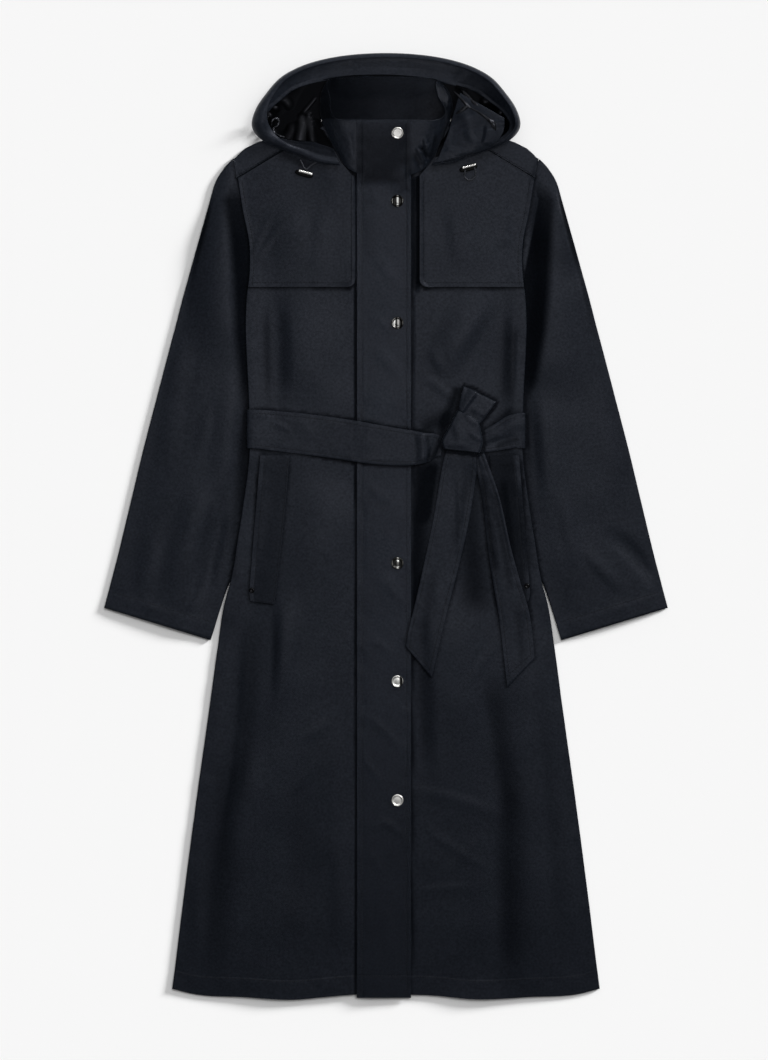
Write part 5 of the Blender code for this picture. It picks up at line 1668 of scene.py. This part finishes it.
# ---------------------------------------------------------------- cut of the cloth that shows
SHEETS = table(
    "piece width length area held below trims",
    ("back_cloth", 576, 1185, 0.515, "laid", "", ""),
    ("front_cloth_left", 320, 1180, 0.283, "laid", "back_cloth", "hem_stitches_left"),
    ("front_cloth_right", 258, 1180, 0.218, "laid", "back_cloth", "hem_stitches_right"),
    ("sleeve_cloth_left", 300, 620, 0.150, "laid", "", "cuff_stitches_left"),
    ("sleeve_cloth_right", 300, 620, 0.150, "laid", "", "cuff_stitches_right"),
    ("yoke_cloth_left", 142, 30, 0.0032, "laid", "back_cloth", "yoke_stitches_left"),
    ("yoke_cloth_right", 142, 30, 0.0032, "laid", "back_cloth", "yoke_stitches_right"),
    ("flap_cloth_left", 158, 218, 0.0268, "laid", "front_cloth_left", "flap_stitches_left"),
    ("flap_cloth_right", 160, 218, 0.0272, "laid", "front_cloth_right", "flap_stitches_right"),
    ("welt_cloth_left", 40, 202, 0.0080, "laid", "front_cloth_left", "welt_stitches_left"),
    ("welt_cloth_right", 40, 202, 0.0080, "laid", "front_cloth_right", "welt_stitches_right"),
    ("placket_cloth", 74, 1200, 0.0885, "laid", "front_cloth_left", "placket_stitches"),
    ("collar_cloth", 400, 76, 0.0260, "folded", "front_cloth_left", "collar_stitches"),
    ("hood_cloth", 860, 76, 0.0470, "folded", "back_cloth", ""),
    ("hood_band_cloth", 800, 39, 0.0252, "folded", "hood_cloth", "hood_stitches"),
    ("hood_lining_cloth", 600, 58, 0.0230, "folded", "hood_cloth", "GATHERS"),
    ("hood_corner_cloth", 90, 75, 0.0050, "folded", "hood_cloth", "corner_stitches"),
    ("belt_back_cloth", 344, 54.4, 0.0187, "laid", "", ""),
    ("belt_front_cloth", 270, 56, 0.0146, "laid", "placket_cloth", "belt_front_stitches"),
    ("belt_side_cloth", 68, 50, 0.0030, "laid", "front_cloth_left", "belt_side_stitches"),
    ("belt_tail_front_cloth", 325, 48, 0.0147, "laid", "front_cloth_left",
     "belt_tail_front_stitches"),
    ("belt_tail_back_cloth", 335, 36, 0.0107, "folded", "front_cloth_left",
     "belt_tail_back_stitches"),
    ("loop_cloth", 100, 44, 0.0040, "folded", "belt_front_cloth", ""),
    ("knot_cloth", 62, 56, 0.0033, "folded", "belt_front_cloth", ""),
)


# ---------------------------------------------------------------- surroundings
WINDOW = (0.35, 0.75, 0.55)
WINDOW_EDGE = 0.25
ROOM_DIM, ROOM_BRIGHT = 0.14, 0.9


def floor():
    bpy.ops.mesh.primitive_plane_add(size=30.0, location=(0.0, 0.0, -0.0006))
    plane = bpy.context.object
    plane.name = "floor"
    material = new_material("pale_floor")
    feed(material, shader_of(material), {
        "Base Color": (0.86, 0.86, 0.86, 1.0), "Roughness": 0.9, "Specular IOR Level": 0.0})
    plane.data.materials.append(material)


def room():
    """White room, brightest low behind the hood and to the right, dim straight above."""
    world = bpy.data.worlds.new("room")
    bpy.context.scene.world = world
    world.use_nodes = True
    facing = add_node(world, "VectorMath", {
        0: add_node(world, "TexCoord")["Generated"], 1: Vector(WINDOW).normalized(),
    }, operation="DOT_PRODUCT")["Value"]
    level = add_node(world, "MapRange", {
        "Value": facing, "From Min": WINDOW_EDGE, "To Min": ROOM_DIM, "To Max": ROOM_BRIGHT,
    }, interpolation_type="SMOOTHSTEP")["Result"]
    feed(world, world.node_tree.nodes["Background"], {
        "Color": (1.0, 1.0, 1.0, 1.0), "Strength": level})


def lamp(row):
    """A sun or a soft square lamp; it shines on one collection and may be blocked by another."""
    data = bpy.data.lights.new(row.name, row.kind)
    data.energy = row.energy
    if row.kind == "SUN":
        data.angle = math.radians(row.size)
    else:
        data.size = row.size
    obj = bpy.data.objects.new(row.name, data)
    bpy.context.scene.collection.objects.link(obj)
    obj.location = (row.x, row.y, row.z)
    aim = Vector((0.0, row.aim_y, 0.0)) - obj.location
    obj.rotation_euler = aim.to_track_quat("-Z", "Y").to_euler()
    obj.light_linking.receiver_collection = bpy.data.collections[row.lit]
    if row.blocker:
        obj.light_linking.blocker_collection = bpy.data.collections[row.blocker]


RAISED = ("hood", "collar", "knot", "loop", "toggle", "drawcord")
LIT_GROUPS = {
    "ground": ("floor",),
    "hood_parts": ("hood_band_cloth", "hood_corner_cloth", "collar_cloth", "placket_cloth"),
    "hood_edges": ("hood_cloth", "hood_band_cloth"),
}
LAMPS = table(
    "name kind energy x y z aim_y size lit blocker",
    ("floor_sun", "SUN", 0.7, 0.45, 0.45, 1, 0, 22, "ground", ""),
    ("floor_low_sun", "SUN", 7.4, 4, 2.4, 1, 0, 10, "ground", "flat_pieces"),
    ("key_sun", "SUN", 0.9, 0.55, 0.65, 0.8, 0, 12, "coat", ""),
    ("low_sun", "SUN", 1.3, 0.7, 0.62, 0.4, 0, 14, "coat", "flat_pieces"),
    ("fill", "SUN", 0.3, -0.1, -0.75, 0.7, 0, 40, "coat", ""),
    ("hood_fill", "SUN", 0.6, -0.1, -0.8, 0.75, 0, 30, "hood_parts", ""),
    ("hood_from_left", "SUN", 0.55, -0.9, 0.2, 0.5, 0, 50, "hood_edges", ""),
    ("hood_from_right", "SUN", 0.55, 0.9, 0.2, 0.5, 0, 50, "hood_edges", ""),
    ("hood_from_top", "SUN", 0.55, 0, 0.9, 0.5, 0, 50, "hood_edges", ""),
    ("overhead", "AREA", 8, 0.14, 0.45, 2.1, 0.2, 0.6, "coat", ""),
)


def group(name, members):
    """Makes a collection that lamps can name."""
    collection = bpy.data.collections.new(name)
    for obj in members:
        collection.objects.link(obj)


def lights():
    """Suns for the floor, others and a soft box for the coat, so that its folds show."""
    room()
    coat = [obj for obj in bpy.data.objects
            if obj.type in ("MESH", "CURVE") and obj.name != "floor"]
    group("coat", coat)
    group("flat_pieces", [obj for obj in coat if not obj.name.startswith(RAISED)])
    for name, members in LIT_GROUPS.items():
        group(name, [bpy.data.objects[member] for member in members])
    for row in LAMPS:
        lamp(row)


for tag in CORDS:
    drawcord(tag)
back()
for makers in ((sleeve,), (front,), (yoke, flap), (welt,)):
    for end in (-1, 1):
        for make in makers:
            make(end)
collar()
placket()
band("belt_side_cloth", BELT_SIDE, "belt_side_run", 60.0, wrap=1)
band("belt_front_cloth", BELT_FRONT, "belt_front_run", 260.0, wrap=-1)
band("belt_tail_back_cloth", TAIL_BACK, "belt_tail_back", 320.0)
band("belt_tail_front_cloth", TAIL_FRONT, "belt_tail_front", 310.0)
belt_back()
loop()
knot()
hood()
hood_corner()
for name in GATHERS:
    gather(name)
fittings()
for tag in CORDS:
    toggle_bar(tag)
    toggle_stop(tag)
for piece in [obj for obj in bpy.data.objects if "_cloth" in obj.name and obj.type == "MESH"]:
    if not piece.name.startswith(("knot", "loop", "hood", "collar")):
        shade_near_edges(piece)
floor()
lights()
